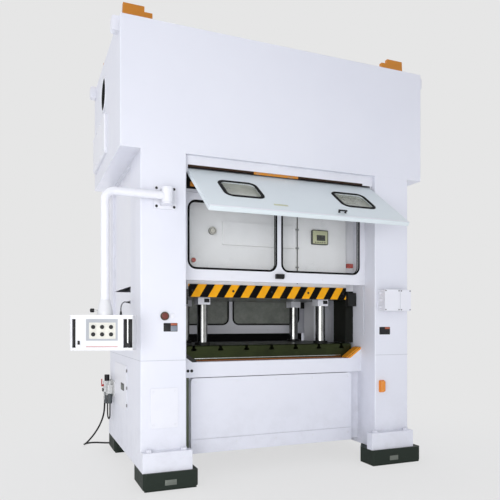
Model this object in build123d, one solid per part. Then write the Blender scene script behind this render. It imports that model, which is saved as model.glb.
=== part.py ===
from build123d import *
import math
import os

# A straight-side hydraulic stamping press, in millimetres.
# +Z is up with the floor at zero, the front faces -Y, and the origin is midway between the four feet.

# Cuts run past the faces they open by this much, and still faces that nearly touch keep this gap.
overrun = 20.0
seat_gap = 0.3
running_gap = 0.05

# Bed, uprights and crown, held together by four tie rods
opening_width = 1908.0
upright_width = 391.0
frame_depth = 1694.0
seam_height = 1060.0
crown_bottom = 2815.0
crown_height = 1085.0
crown_overhang = 165.0
frame_plate = 40.0
crown_floor = 50.0
edge_radius = 10.0
half_opening = opening_width / 2
half_frame = half_opening + upright_width
half_depth = frame_depth / 2
half_crown = half_frame + crown_overhang
crown_top = crown_bottom + crown_height
crown_deck = crown_bottom + crown_floor

# Feet: rubber pads, welded blocks and levelling bolts
pad_height = 150.0
pad_width = 464.0
pad_depth = 410.0
pad_corner = 24.0
pad_inset = 2.0
right_pad_width = 565.0
right_pad_overhang = 75.0
right_pad_cut_width = 157.0
right_pad_cut_depth = 225.0
pad_setback = 97.0
pad_base_height = 16.0
pad_base_inset = 14.0
anchor_radius = 11.0
anchor_depth = 60.0
anchor_edge = 234.0
foot_height = 162.0
foot_depth = 83.0
foot_inset = 29.0
right_foot_inset = 93.0
level_bolt_radius = 14.0
level_head_radius = 26.0
level_head_height = 20.0
level_bolt_length = 90.0
level_bolt_edge = 62.0
anchor_x = half_frame - anchor_edge
pad_y = half_depth - pad_setback

# Bed: the low bridge between the legs, with its apron and its cover
bridge_bottom = 196.0
bridge_top = 1020.0
bridge_setback = 307.0
apron_depth = 60.0
apron_height = 138.0
cover_gap = 7.0
cover_side_gap = 112.0
cover_corner = 34.0
cover_groove = 8.0
cover_groove_height = 320.0
bridge_half_depth = half_depth - bridge_setback
bridge_front = bridge_half_depth + apron_depth
apron_bottom = bridge_top - apron_height

# Bolster plate with its tee slots
bolster_side_gap = 54.0
bolster_setback = 40.0
bolster_height = 145.0
bolster_edge = 8.0
slot_pitch = 262.0
slot_count = 7
slot_width = 28.0
slot_depth = 50.0
slot_foot_width = 50.0
slot_foot_height = 22.0
half_bolster = half_opening - bolster_side_gap
bolster_half_depth = bridge_half_depth - bolster_setback
bolster_top = bridge_top + bolster_height

# Slide with its stroke, guide posts, bushes, gibs and wear liners
slide_bottom = 1615.0
slide_height = 945.0
slide_setback = 50.0
slide_edge = 12.0
slide_stroke = 150.0
post_radius = 50.0
post_inset_x = 205.0
post_inset_y = 180.0
post_entry = 85.0
post_bore_gap = 4.0
post_bore_spare = 25.0
bush_width = 120.0
bush_height = 65.0
gib_setback = 35.0
gib_thickness = 91.7
gib_width = 235.0
gib_foot_gap = 6.0
gib_top = 2700.0
liner_thickness = 12.0
gib_running_gap = 0.3
liner_end_gap = 60.0
shoe_height = 68.0
shoe_depth = 72.0
shoe_wall_gap = 8.0
half_slide = half_opening - gib_thickness - gib_running_gap - liner_thickness
slide_half_depth = bridge_half_depth - slide_setback
gib_inner = slide_half_depth - gib_setback
slide_top = slide_bottom + slide_height
post_x = half_slide - post_inset_x
post_y = slide_half_depth - post_inset_y

# What the slide carries on its front
stripe_height = 118.0
stripe_thickness = 15.0
panel_left = 508.0
panel_right = 255.0
panel_rise = 495.0
panel_height = 220.0
panel_thickness = 14.0
panel_radius = 12.0
display_x = 530.0
display_z = 2235.0
display_width = 184.0
display_height = 146.0
display_depth = 24.0
gauge_x = 607.0
gauge_z = 2232.0
gauge_radius = 36.0
gauge_depth = 26.0
panel_bottom = slide_bottom + panel_rise
panel_top = panel_bottom + panel_height

# Hydraulic drive inside the crown
cylinder_x = 450.0
barrel_radius = 190.0
barrel_bore = 150.0
barrel_height = 655.0
barrel_end = 60.0
barrel_flange_radius = 240.0
barrel_flange_height = 50.0
ram_radius = 100.0
ram_gap = 0.3
piston_height = 140.0
piston_top_gap = 20.0
ram_flange_radius = 160.0
ram_flange_height = 40.0
ram_hole_gap = 10.0
tank_half_width = 650.0
tank_barrel_gap = 60.0
tank_wall_gap = 47.0
tank_height = 485.0
drive_wall_gap = 287.0
drive_height = 230.0
motor_start = 60.0
motor_length = 420.0
motor_radius = 170.0
motor_fin_depth = 12.0
motor_fin_count = 24
motor_fin_width = 16.0
motor_foot_width = 260.0
pump_end = -160.0
pump_length = 170.0
pump_radius = 105.0
shaft_radius = 30.0
shaft_entry = 40.0
shaft_hub_radius = 75.0
shaft_hub_length = 140.0
valve_width = 360.0
valve_depth = 180.0
valve_height = 150.0
valve_coil_radius = 24.0
valve_coil_length = 110.0
valve_coil_count = 4
tank_front = barrel_flange_radius + tank_barrel_gap
tank_back = half_depth - frame_plate - tank_wall_gap
drive_y = -(half_depth - frame_plate - drive_wall_gap)
drive_z = crown_deck + drive_height

# Tie rods and their nuts
rod_radius = 45.0
rod_gap = 3.0
rod_x = half_opening + upright_width / 2
rod_setback = 397.0
rod_y = half_depth - rod_setback
nut_radius = 88.0
nut_height = 90.0
nut_pocket_radius = 110.0
nut_pocket_height = 112.0
rod_tail = 22.0

# Guard doors at the front and the back, and the grooves that they run in
door_setback = 190.0
door_y = half_depth - door_setback
door_thickness = 26.0
door_height = 775.0
door_sill = 190.0
door_drop = 505.0
door_bottom = seam_height + door_sill + door_drop
groove_depth = 14.0
groove_gap = 0.8
door_edge_gap = 0.8
window_inner = 30.0
window_side_gap = 69.0
window_outer = half_opening - window_side_gap
window_low = 107.0
window_height = 599.0
window_radius = 70.0
pane_thickness = 8.0
latch_width = 82.0
latch_height = 44.0
latch_depth = 34.0
latch_low = 34.0
latch_grip = 12.0
groove_bottom = door_bottom - door_drop - seat_gap

# Header beams under the crown, and the visor that hangs from the front one
header_height = 95.0
header_setback = 47.0
header_front = half_depth - header_setback
header_depth = 60.0
visor_side_gap = 24.0
visor_half_width = half_opening - visor_side_gap
visor_length = 757.0
visor_thickness = 38.0
visor_tilt = 54.3
visor_setback = 67.0
visor_hinge_y = half_depth - visor_setback
visor_hinge_drop = 30.0
visor_barrel_radius = 19.0
visor_edge = 6.0
visor_window_inner = 385.0
visor_window_width = 330.0
visor_window_start = 215.0
visor_window_height = 300.0
visor_window_radius = 60.0
visor_pane_thickness = 6.0
hinge_pin_radius = 8.0
hinge_pin_entry = 40.0
hinge_ear_thickness = 12.0
hinge_ear_radius = 20.0
visor_hinge_z = crown_bottom - header_height - visor_hinge_drop

# Crown fittings
bracket_edge = 50.0
bracket_block = 195.0
bracket_tail = 70.0
bracket_outer = half_crown - bracket_edge
bracket_step = bracket_outer - bracket_block
bracket_inner = bracket_step - bracket_tail
bracket_slant = 12.0
bracket_height = 215.0
bracket_step_height = 168.0
bracket_thickness = 40.0
bracket_setback = 247.0
lug_setback = 102.0
bracket_y = half_depth - bracket_setback
lug_y = half_depth - lug_setback
lug_width = 80.0
lug_height = 120.0
lug_reach = 60.0
lug_radius = 22.0
vent_radius = 150.0
vent_setback = 737.0
vent_y = half_depth - vent_setback
vent_z = 3590.0
crown_cover_length = 848.0
crown_cover_setback = 97.0
crown_cover_back = half_depth - crown_cover_setback
crown_cover_front = crown_cover_back - crown_cover_length
crown_cover_bottom = 2970.0
crown_cover_top = 3350.0
crown_cover_thickness = 26.0
crown_cover_radius = 30.0

# Side windows of the uprights with their guards, and the doors low on the sides
window_front_setback = 446.0
window_back_setback = 207.0
window_front = window_front_setback - half_depth
window_back = half_depth - window_back_setback
side_sill = 71.0
side_window_low = seam_height + side_sill
side_window_high = 2790.0
guard_thickness = 12.0
guard_recess = 24.0
guard_gap = 6.0
cover_front_height = 517.0
cover_back_height = 575.0
cover_front_top = side_window_low + cover_front_height
cover_back_top = side_window_low + cover_back_height
guard_bottom = cover_back_top + guard_gap
side_door_front_setback = 625.0
side_door_back_setback = 377.0
side_door_front = side_door_front_setback - half_depth
side_door_back = half_depth - side_door_back_setback
side_door_bottom = 560.0
side_door_top = 975.0
side_door_thickness = 6.0
side_door_radius = 14.0

# Fittings on the front of the uprights
plate_edge_gap = 83.0
plate_width = 232.0
plate_left = half_frame - plate_edge_gap
plate_right = plate_left - plate_width
plate_bottom = 497.0
plate_top = 828.0
plate_thickness = 5.0
plate_radius = 10.0
box_edge_gap = 36.0
box_left = half_opening + box_edge_gap
box_width = 310.0
box_bottom = 1492.0
box_height = 208.0
box_depth = 98.0
box_radius = 8.0
lid_thickness = 12.0
lid_split = 180.0
lid_seam = 4.0
lamp_edge_gap = 76.0
lamp_x = half_opening + lamp_edge_gap
lamp_z = 753.0
lamp_width = 64.0
lamp_height = 120.0
lamp_depth = 38.0
lamp_base = 8.0
lamp_radius = 14.0
stop_edge_gap = 202.0
stop_x = stop_edge_gap - half_frame
stop_z = 1432.0
stop_radius = 27.0
stop_bezel_radius = 36.0
stop_bezel_depth = 14.0
stop_gap = 0.5
stop_length = 20.0
stop_travel = 6.0
stop_back_gap = 1.0
gusset_length = 164.0
gusset_height = 110.0
gusset_lip = 26.0
gusset_back_gap = 5.0
gusset_back = bolster_half_depth + gusset_back_gap

# Operator pendant: bracket, swinging arm, swivelling box and its push buttons
arm_edge_gap = 205.0
arm_stand_off = 88.0
arm_x = arm_edge_gap - half_frame
arm_y = -half_depth - arm_stand_off
arm_z = 2420.0
arm_radius = 34.0
arm_bend = 75.0
arm_reach = 502.0
arm_lean = -9.0
arm_bottom = 1490.0
arm_boss_radius = 48.0
arm_boss_height = 110.0
arm_pin_radius = 16.0
ear_thickness = 14.0
ear_gap = 0.5
ear_width = 90.0
base_width = 190.0
base_height = 190.0
base_thickness = 16.0
pendant_turn = -22.34
pendant_half_width = 246.0
pendant_shift = -11.0
pendant_bottom = 1161.0
pendant_height = 275.0
pendant_half_depth = 70.0
pendant_edge = 10.0
neck_height = 119.0
neck_top_radius = 40.0
neck_foot_radius = 60.0
neck_foot_height = 24.0
neck_bore_depth = 67.0
clamp_radius = 13.0
clamp_stem_radius = 6.0
clamp_length = 26.0
clamp_stem = 30.0
clamp_height = 37.0
face_left = -130.0
face_right = 116.0
face_bottom = 76.0
face_top = 244.0
face_recess = 6.0
face_thickness = 4.0
button_first_x = -73.0
button_pitch_x = 69.0
button_low_z = 125.0
button_pitch_z = 57.0
button_columns = 3
button_rows = 2
button_radius = 16.0
button_gap = 0.4
button_length = 24.0
button_proud = 12.0
button_travel = 5.0
button_well = 26.0
button_edge = 2.0
end_slot_bottom = 21.0
end_slot_top = 244.0
end_slot_depth = 26.0
left_slot_start = -238.0
left_slot_width = 27.0
right_slot_start = 159.0
right_slot_width = 70.0
grip_x = 190.0
grip_radius = 9.0
pendant_top = pendant_bottom + pendant_height

# Air service unit on the left side, with its supply hose and a short link hose
air_plate_thickness = 14.0
air_plate_setback = 37.0
air_plate_length = 310.0
air_plate_back = half_depth - air_plate_setback
air_plate_front = air_plate_back - air_plate_length
air_plate_bottom = 600.0
air_plate_top = 765.0
regulator_setback = 75.0
regulator_y = air_plate_back - regulator_setback
regulator_width = 70.0
regulator_bottom = 632.0
regulator_height = 118.0
regulator_edge = 8.0
bowl_radius = 26.0
bowl_height = 128.0
bowl_dome = 14.0
knob_radius = 27.0
knob_height = 68.0
knob_stem_radius = 14.0
knob_stem_height = 10.0
oiler_setback = 245.0
oiler_y = air_plate_back - oiler_setback
oiler_width = 56.0
oiler_height = 92.0
oiler_knob_radius = 15.0
oiler_knob_height = 36.0
oiler_bowl_radius = 24.0
oiler_bowl_height = 106.0
nipple_radius = 11.0
nipple_z = 690.0
elbow_width = 34.0
elbow_height = 56.0
elbow_bottom = 603.0
lever_pivot_radius = 9.0
lever_pivot_length = 16.0
lever_blade_thickness = 10.0
lever_blade_width = 24.0
lever_blade_length = 72.0
lever_z = 702.0
hose_radius = 9.0
hose_nipple_length = 28.0
hose_stand_off = 65.0
hose_setback = 57.0
hose_x = -half_frame - hose_stand_off
hose_y = half_depth - hose_setback
link_radius = 7.0
link_bend = 46.0
link_low = 358.0
link_stand_off = 51.0
link_setback = 169.0
link_x = -half_frame - link_stand_off
link_y = half_depth - link_setback
coupling_radius = 15.0
coupling_length = 60.0
coupling_collar_radius = 18.0
coupling_collar_length = 22.0
coupling_collar_start = 20.0
run_share = 0.45
hose_offsets = [
    (-65.0, -57.0, 575.0),
    (-65.0, -57.0, 480.0),
    (-75.0, -49.0, 370.0),
    (-110.0, -22.0, 262.0),
    (-160.0, 21.0, 165.0),
    (-211.0, 75.0, 86.0),
    (-247.0, 141.0, 32.0),
    (-259.0, 221.0, 9.5),
    (-211.0, 285.0, 9.5),
    (-128.0, 289.0, 9.5),
    (-57.0, 241.0, 9.5),
    (19.0, 199.0, 9.5),
    (100.0, 183.0, 9.5),
]
hose_route = [(x - half_frame, y + half_depth, z) for x, y, z in hose_offsets]

# Pendant lead: a grey cable from the side cover to the top of the pendant
lead_radius = 5.5
gland_radius = 16.0
gland_length = 22.0
lead_entry_setback = 502.0
lead_entry_y = lead_entry_setback - half_depth
lead_entry_z = 1562.0
lead_offsets = [
    (1.7, 502.0, 1562.0),
    (-27.0, 502.0, 1562.0),
    (-49.0, 452.0, 1562.0),
    (-71.0, 347.0, 1558.0),
    (-99.0, 222.0, 1550.0),
    (-131.0, 92.0, 1538.0),
    (-159.0, -28.0, 1518.0),
    (-177.0, -108.0, 1490.0),
    (-180.0, -131.0, 1466.0),
    (-180.0, -131.0, 1436.3),
]
lead_route = [(x - half_frame, y - half_depth, z) for x, y, z in lead_offsets]

sides = (-1, 1)
nodes = {}


def block(x, y, z):
    """A box given by its low and high place on each axis."""
    centre = Pos((x[0] + x[1]) / 2, (y[0] + y[1]) / 2, (z[0] + z[1]) / 2)
    return centre * Box(x[1] - x[0], y[1] - y[0], z[1] - z[0])


def bar(radius, start, end):
    """A round bar between two points."""
    along = Vector(end) - Vector(start)
    plane = Plane(origin=start, z_dir=along)
    return plane * Cylinder(radius, along.length, align=(Align.CENTER, Align.CENTER, Align.MIN))


def hexagon_bar(radius, bottom, height):
    """An upright hexagonal prism on the given point."""
    return Pos(*bottom) * extrude(RegularPolygon(radius, 6), height)


def panel_on_front(x, z, y, thickness, radius):
    """A plate with round corners that stands on the plane at y and grows towards -Y."""
    plane = Plane(((x[0] + x[1]) / 2, y, (z[0] + z[1]) / 2), x_dir=(1, 0, 0), z_dir=(0, -1, 0))
    return extrude(plane * RectangleRounded(x[1] - x[0], z[1] - z[0], radius), thickness)


def panel_on_side(side, y, z, x, thickness, radius):
    """A plate with round corners that stands on the plane at x and grows away from the middle."""
    plane = Plane((side * x, (y[0] + y[1]) / 2, (z[0] + z[1]) / 2), x_dir=(0, 1, 0), z_dir=(side, 0, 0))
    return extrude(plane * RectangleRounded(y[1] - y[0], z[1] - z[0], radius), thickness)


def ordered(a, b):
    """The two numbers, low one first."""
    return (min(a, b), max(a, b))


def hose_along(points, radius):
    """A tube along straight runs joined by arcs, each as large as its two runs allow."""
    corners = [Vector(point) for point in points]
    radii = []
    for before, corner, after in zip(corners, corners[1:], corners[2:]):
        turn = math.radians((corner - before).get_angle(after - corner))
        shorter = min((corner - before).length, (after - corner).length)
        radii.append(run_share * shorter / math.tan(turn / 2))
    path = FilletPolyline(*points, radius=radii)
    start = Plane(origin=path @ 0, z_dir=path % 0)
    tube = sweep(start * Circle(radius), path=path)
    print("tube", round(path.length), "radii", [round(r) for r in radii])
    print("volume over section times length", round(tube.volume / (math.pi * radius**2 * path.length), 4))
    return tube


def corners_of(x, y):
    """The four places at plus and minus x and y."""
    return [(sx * x, sy * y) for sx in sides for sy in sides]


def make_feet():
    pads = []
    blocks = []
    bolts = []
    for x, y in corners_of(anchor_x, pad_y):
        if x < 0:
            outer = half_frame - pad_inset
            width = pad_width
        else:
            outer = half_frame + right_pad_overhang
            width = right_pad_width
        outline = chamfer(Rectangle(width, pad_depth).vertices(), pad_corner)
        body = extrude(outline, pad_height - pad_base_height)
        base_size = (width - 2 * pad_base_inset, pad_depth - 2 * pad_base_inset)
        base = extrude(Rectangle(*base_size), pad_base_height)
        middle = math.copysign(outer - width / 2, x)
        pad = Pos(middle, y, 0) * (base + Pos(0, 0, pad_base_height) * body)
        if x > 0:
            inner = outer - width - overrun
            rear = y - math.copysign(pad_depth / 2 + overrun, y)
            cut_rear = rear + math.copysign(right_pad_cut_depth + overrun, y)
            corner = Polyline(
                (inner, rear),
                (inner + right_pad_cut_width + overrun, rear),
                (inner, cut_rear),
                close=True,
            )
            pad -= extrude(make_face(corner), pad_height)
        pad -= bar(anchor_radius, (x, y, -overrun), (x, y, anchor_depth))
        pads.append(pad)
    for sx in sides:
        inset = foot_inset if sx < 0 else right_foot_inset
        for sy in sides:
            xs = ordered(sx * (half_opening - inset), sx * half_frame)
            ys = ordered(sy * half_depth, sy * (half_depth + foot_depth))
            foot = block(xs, ys, (pad_height, pad_height + foot_height))
            y = sy * (half_depth + foot_depth / 2)
            top = pad_height + foot_height
            for x in (xs[0] + level_bolt_edge, xs[1] - level_bolt_edge):
                hole_low = (x, y, top - level_bolt_length - overrun)
                foot -= bar(level_bolt_radius + seat_gap, hole_low, (x, y, top + overrun))
                shank = bar(level_bolt_radius, (x, y, top - level_bolt_length), (x, y, top))
                bolts.append(shank + hexagon_bar(level_head_radius, (x, y, top), level_head_height))
            blocks.append(foot)
    nodes["isolator_pads"] = pads
    nodes["foot_blocks"] = blocks + bolts


def make_bed():
    bridge_x = (-half_opening, half_opening)
    bed = block(bridge_x, (-bridge_half_depth, bridge_half_depth), (bridge_bottom, bridge_top))
    bed += block(bridge_x, (-bridge_front, bridge_front), (apron_bottom, bridge_top))
    for side in sides:
        xs = ordered(side * half_opening, side * half_frame)
        leg = block(xs, (-half_depth, half_depth), (pad_height, seam_height))
        bed += fillet(leg.edges().filter_by(Axis.Z), edge_radius)
    for x, y in corners_of(rod_x, rod_y):
        bed -= bar(rod_radius + rod_gap, (x, y, 0), (x, y, seam_height + overrun))
        bed -= bar(nut_pocket_radius, (x, y, 0), (x, y, pad_height + nut_pocket_height))
    nodes["bed"] = [bed]

    half_cover = half_opening - cover_side_gap
    cover_top = apron_bottom - cover_gap
    size = (2 * half_cover, cover_top - bridge_bottom)
    face = Rectangle(*size)
    top_corners = face.vertices().group_by(Axis.Y)[-1]
    covers = []
    for side in sides:
        plane = Plane(
            (0, side * bridge_half_depth, (cover_top + bridge_bottom) / 2),
            x_dir=(-side, 0, 0),
            z_dir=(0, side, 0),
        )
        cover = extrude(plane * fillet(top_corners, cover_corner), apron_depth)
        groove_y = ordered(side * (bridge_front - cover_groove), side * (bridge_front + overrun))
        groove_z = (cover_groove_height, cover_groove_height + cover_groove)
        cover -= block((-half_opening, half_opening), groove_y, groove_z)
        covers.append(cover)
    nodes["bed_covers"] = covers

    gussets = []
    for side in sides:
        outline = Polyline(
            (side * half_opening, bridge_top),
            (side * (half_opening - gusset_length), bridge_top),
            (side * (half_opening - gusset_length), bridge_top + gusset_lip / 2),
            (side * (half_opening - gusset_lip), bridge_top + gusset_height),
            (side * half_opening, bridge_top + gusset_height),
            close=True,
        )
        plane = Plane((0, -gusset_back, 0), x_dir=(1, 0, 0), z_dir=(0, -1, 0))
        gussets.append(extrude(plane * make_face(outline), bridge_front - gusset_back))
    nodes["corner_gussets"] = gussets


def make_bolster():
    ys = (-bolster_half_depth, bolster_half_depth)
    plate = block((-half_bolster, half_bolster), ys, (bridge_top, bolster_top))
    plate = chamfer(plate.edges().filter_by(Axis.X), bolster_edge)
    long_y = (-bolster_half_depth - overrun, bolster_half_depth + overrun)
    slot_floor = bolster_top - slot_depth
    for index in range(slot_count):
        x = slot_pitch * (index - (slot_count - 1) / 2)
        plate -= block((x - slot_width / 2, x + slot_width / 2), long_y, (slot_floor, bolster_top + overrun))
        foot = (x - slot_foot_width / 2, x + slot_foot_width / 2)
        plate -= block(foot, long_y, (slot_floor, slot_floor + slot_foot_height))
    nodes["bolster"] = [plate]
    posts = []
    for x, y in corners_of(post_x, post_y):
        posts.append(bar(post_radius, (x, y, bolster_top), (x, y, slide_bottom + post_entry)))
    nodes["guide_posts"] = posts


def make_uprights():
    for side, name in zip(sides, ("upright_left", "upright_right")):
        xs = ordered(side * half_opening, side * half_frame)
        column = block(xs, (-half_depth, half_depth), (seam_height, crown_bottom))
        column = fillet(column.edges().filter_by(Axis.Z), edge_radius)
        hollow_x = (xs[0] + frame_plate, xs[1] - frame_plate)
        hollow_y = (-half_depth + frame_plate, half_depth - frame_plate)
        column -= block(hollow_x, hollow_y, (seam_height - overrun, crown_bottom + overrun))
        wall = ordered(side * (half_frame - frame_plate - overrun), side * (half_frame + overrun))
        column -= block(wall, (window_front, window_back), (side_window_low, side_window_high))
        groove_x = ordered(side * (half_opening - overrun), side * (half_opening + groove_depth))
        half_groove = door_thickness / 2 + groove_gap
        groove_z = (groove_bottom, crown_bottom + overrun)
        for y in (-door_y, door_y):
            column -= block(groove_x, (y - half_groove, y + half_groove), groove_z)
        nodes[name] = [column]


def make_side_guards():
    guards = []
    covers = []
    doors = []
    ys = (window_front + seat_gap, window_back - seat_gap)
    for side in sides:
        xs = ordered(side * (half_frame - guard_recess), side * (half_frame - guard_recess - guard_thickness))
        guards.append(block(xs, ys, (guard_bottom, side_window_high - seat_gap)))
        outline = Polyline(
            (ys[0], side_window_low + seat_gap),
            (ys[1], side_window_low + seat_gap),
            (ys[1], cover_back_top),
            (ys[0], cover_front_top),
            close=True,
        )
        plane = Plane((xs[0], 0, 0), x_dir=(0, 1, 0), z_dir=(1, 0, 0))
        covers.append(extrude(plane * make_face(outline), guard_thickness))
        span_y = (side_door_front, side_door_back)
        span_z = (side_door_bottom, side_door_top)
        doors.append(panel_on_side(side, span_y, span_z, half_frame, side_door_thickness, side_door_radius))
    nodes["side_guards"] = guards + covers
    nodes["bed_doors"] = doors


def make_crown():
    crown = block((-half_crown, half_crown), (-half_depth, half_depth), (crown_bottom, crown_top))
    crown = fillet(crown.edges().filter_by(Axis.Z) + crown.edges().group_by(Axis.Z)[-1], edge_radius)
    hollow_x = (-half_crown + frame_plate, half_crown - frame_plate)
    hollow_y = (-half_depth + frame_plate, half_depth - frame_plate)
    crown -= block(hollow_x, hollow_y, (crown_deck, crown_top - frame_plate))
    for x, y in corners_of(rod_x, rod_y):
        crown -= bar(rod_radius + rod_gap, (x, y, crown_bottom - overrun), (x, y, crown_top + overrun))
    for side in sides:
        x = side * cylinder_x
        crown -= bar(ram_radius + ram_hole_gap, (x, 0, crown_bottom - overrun), (x, 0, crown_deck + overrun))
    vent_outside = -half_crown - overrun
    vent_inside = -half_crown + frame_plate + overrun
    crown -= bar(vent_radius, (vent_outside, vent_y, vent_z), (vent_inside, vent_y, vent_z))
    nodes["crown"] = [crown]

    covers = []
    lugs = []
    for side in sides:
        span_y = (crown_cover_front, crown_cover_back)
        span_z = (crown_cover_bottom, crown_cover_top)
        cover = panel_on_side(side, span_y, span_z, half_crown, crown_cover_thickness, crown_cover_radius)
        rim = cover.faces().sort_by(Axis.X)[0 if side < 0 else -1].edges()
        covers.append(chamfer(rim, crown_cover_thickness / 3))
        for y in (-lug_y, lug_y):
            lug_z = (crown_top - lug_height, crown_top)
            span = (y - lug_width / 2, y + lug_width / 2)
            lug = block(ordered(side * half_crown, side * (half_crown + lug_reach)), span, lug_z)
            tip = lug.edges().filter_by(Axis.Y).group_by(Axis.X)[0 if side < 0 else -1]
            lugs.append(fillet(tip, lug_radius))
    nodes["crown_fittings"] = covers + lugs

    brackets = []
    for side in sides:
        outline = Polyline(
            (side * bracket_outer, crown_top),
            (side * (bracket_outer - bracket_slant), crown_top + bracket_height),
            (side * bracket_step, crown_top + bracket_height),
            (side * bracket_step, crown_top + bracket_step_height),
            (side * bracket_inner, crown_top + bracket_step_height),
            (side * bracket_inner, crown_top),
            close=True,
        )
        for y in (-bracket_y, bracket_y):
            plane = Plane((0, y + bracket_thickness / 2, 0), x_dir=(1, 0, 0), z_dir=(0, -1, 0))
            brackets.append(extrude(plane * make_face(outline), bracket_thickness))
    nodes["lifting_brackets"] = brackets

    headers = []
    for side in sides:
        ys = ordered(side * header_front, side * (header_front - header_depth))
        headers.append(block((-half_opening, half_opening), ys, (crown_bottom - header_height, crown_bottom)))
    nodes["headers"] = headers


def make_tie_rods():
    rods = []
    nuts = []
    low = pad_height + nut_pocket_height - nut_height
    for x, y in corners_of(rod_x, rod_y):
        rods.append(bar(rod_radius, (x, y, low), (x, y, crown_top + nut_height + rod_tail)))
        for z in (low, crown_top):
            nut = hexagon_bar(nut_radius, (x, y, z), nut_height)
            thread_top = z + nut_height + overrun
            nuts.append(nut - bar(rod_radius + seat_gap, (x, y, z - overrun), (x, y, thread_top)))
    nodes["tie_rods"] = rods + nuts


def make_slide():
    zs = (slide_bottom, slide_top)
    slide = block((-half_slide, half_slide), (-slide_half_depth, slide_half_depth), zs)
    slide = fillet(slide.edges().filter_by(Axis.Z), slide_edge)
    bore_top = slide_bottom + post_entry + slide_stroke + post_bore_spare
    bushes = []
    for x, y in corners_of(post_x, post_y):
        slide -= bar(post_radius + post_bore_gap, (x, y, slide_bottom - overrun), (x, y, bore_top))
        span_x = (x - bush_width / 2, x + bush_width / 2)
        span_y = (y - bush_width / 2, y + bush_width / 2)
        bush = block(span_x, span_y, (slide_bottom - bush_height, slide_bottom))
        low = slide_bottom - bush_height - overrun
        bushes.append(bush - bar(post_radius + running_gap, (x, y, low), (x, y, slide_bottom + overrun)))
    front = -slide_half_depth
    panel_x = (-panel_left, panel_right)
    panel = panel_on_front(panel_x, (panel_bottom, panel_top), front, panel_thickness, panel_radius)
    nodes["slide"] = [slide + panel]
    nodes["post_bushes"] = bushes

    gibs = []
    liners = []
    shoes = []
    liner_z = (slide_bottom + liner_end_gap, slide_top - liner_end_gap)
    shoe_z = (slide_bottom - shoe_height, slide_bottom + shoe_height)
    for sx in sides:
        for sy in sides:
            span_y = ordered(sy * gib_inner, sy * (gib_inner - gib_width))
            gib_x = ordered(sx * half_opening, sx * (half_opening - gib_thickness))
            gibs.append(block(gib_x, span_y, (bolster_top + gib_foot_gap, gib_top)))
            liner_x = ordered(sx * half_slide, sx * (half_slide + liner_thickness))
            liners.append(block(liner_x, span_y, liner_z))
            shoe_x = ordered(sx * half_slide, sx * (half_opening - shoe_wall_gap))
            shoe_y = ordered(sy * (gib_inner + shoe_wall_gap), sy * (gib_inner + shoe_depth))
            shoes.append(block(shoe_x, shoe_y, shoe_z))
    nodes["gibs"] = gibs
    nodes["slide_guides"] = liners + shoes

    stripe_y = (-slide_half_depth - stripe_thickness, -slide_half_depth)
    stripe_x = (-half_slide + slide_edge, half_slide - slide_edge)
    nodes["striped_bar"] = [block(stripe_x, stripe_y, (slide_bottom, slide_bottom + stripe_height))]
    half_display = display_width / 2
    display_span_z = (display_z - display_height / 2, display_z + display_height / 2)
    span_x = (display_x - half_display, display_x + half_display)
    display = panel_on_front(span_x, display_span_z, -slide_half_depth, display_depth, panel_radius)
    gauge_front = (-gauge_x, -slide_half_depth - gauge_depth, gauge_z)
    gauge = bar(gauge_radius, (-gauge_x, -slide_half_depth, gauge_z), gauge_front)
    nodes["slide_instruments"] = [display, gauge]


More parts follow.
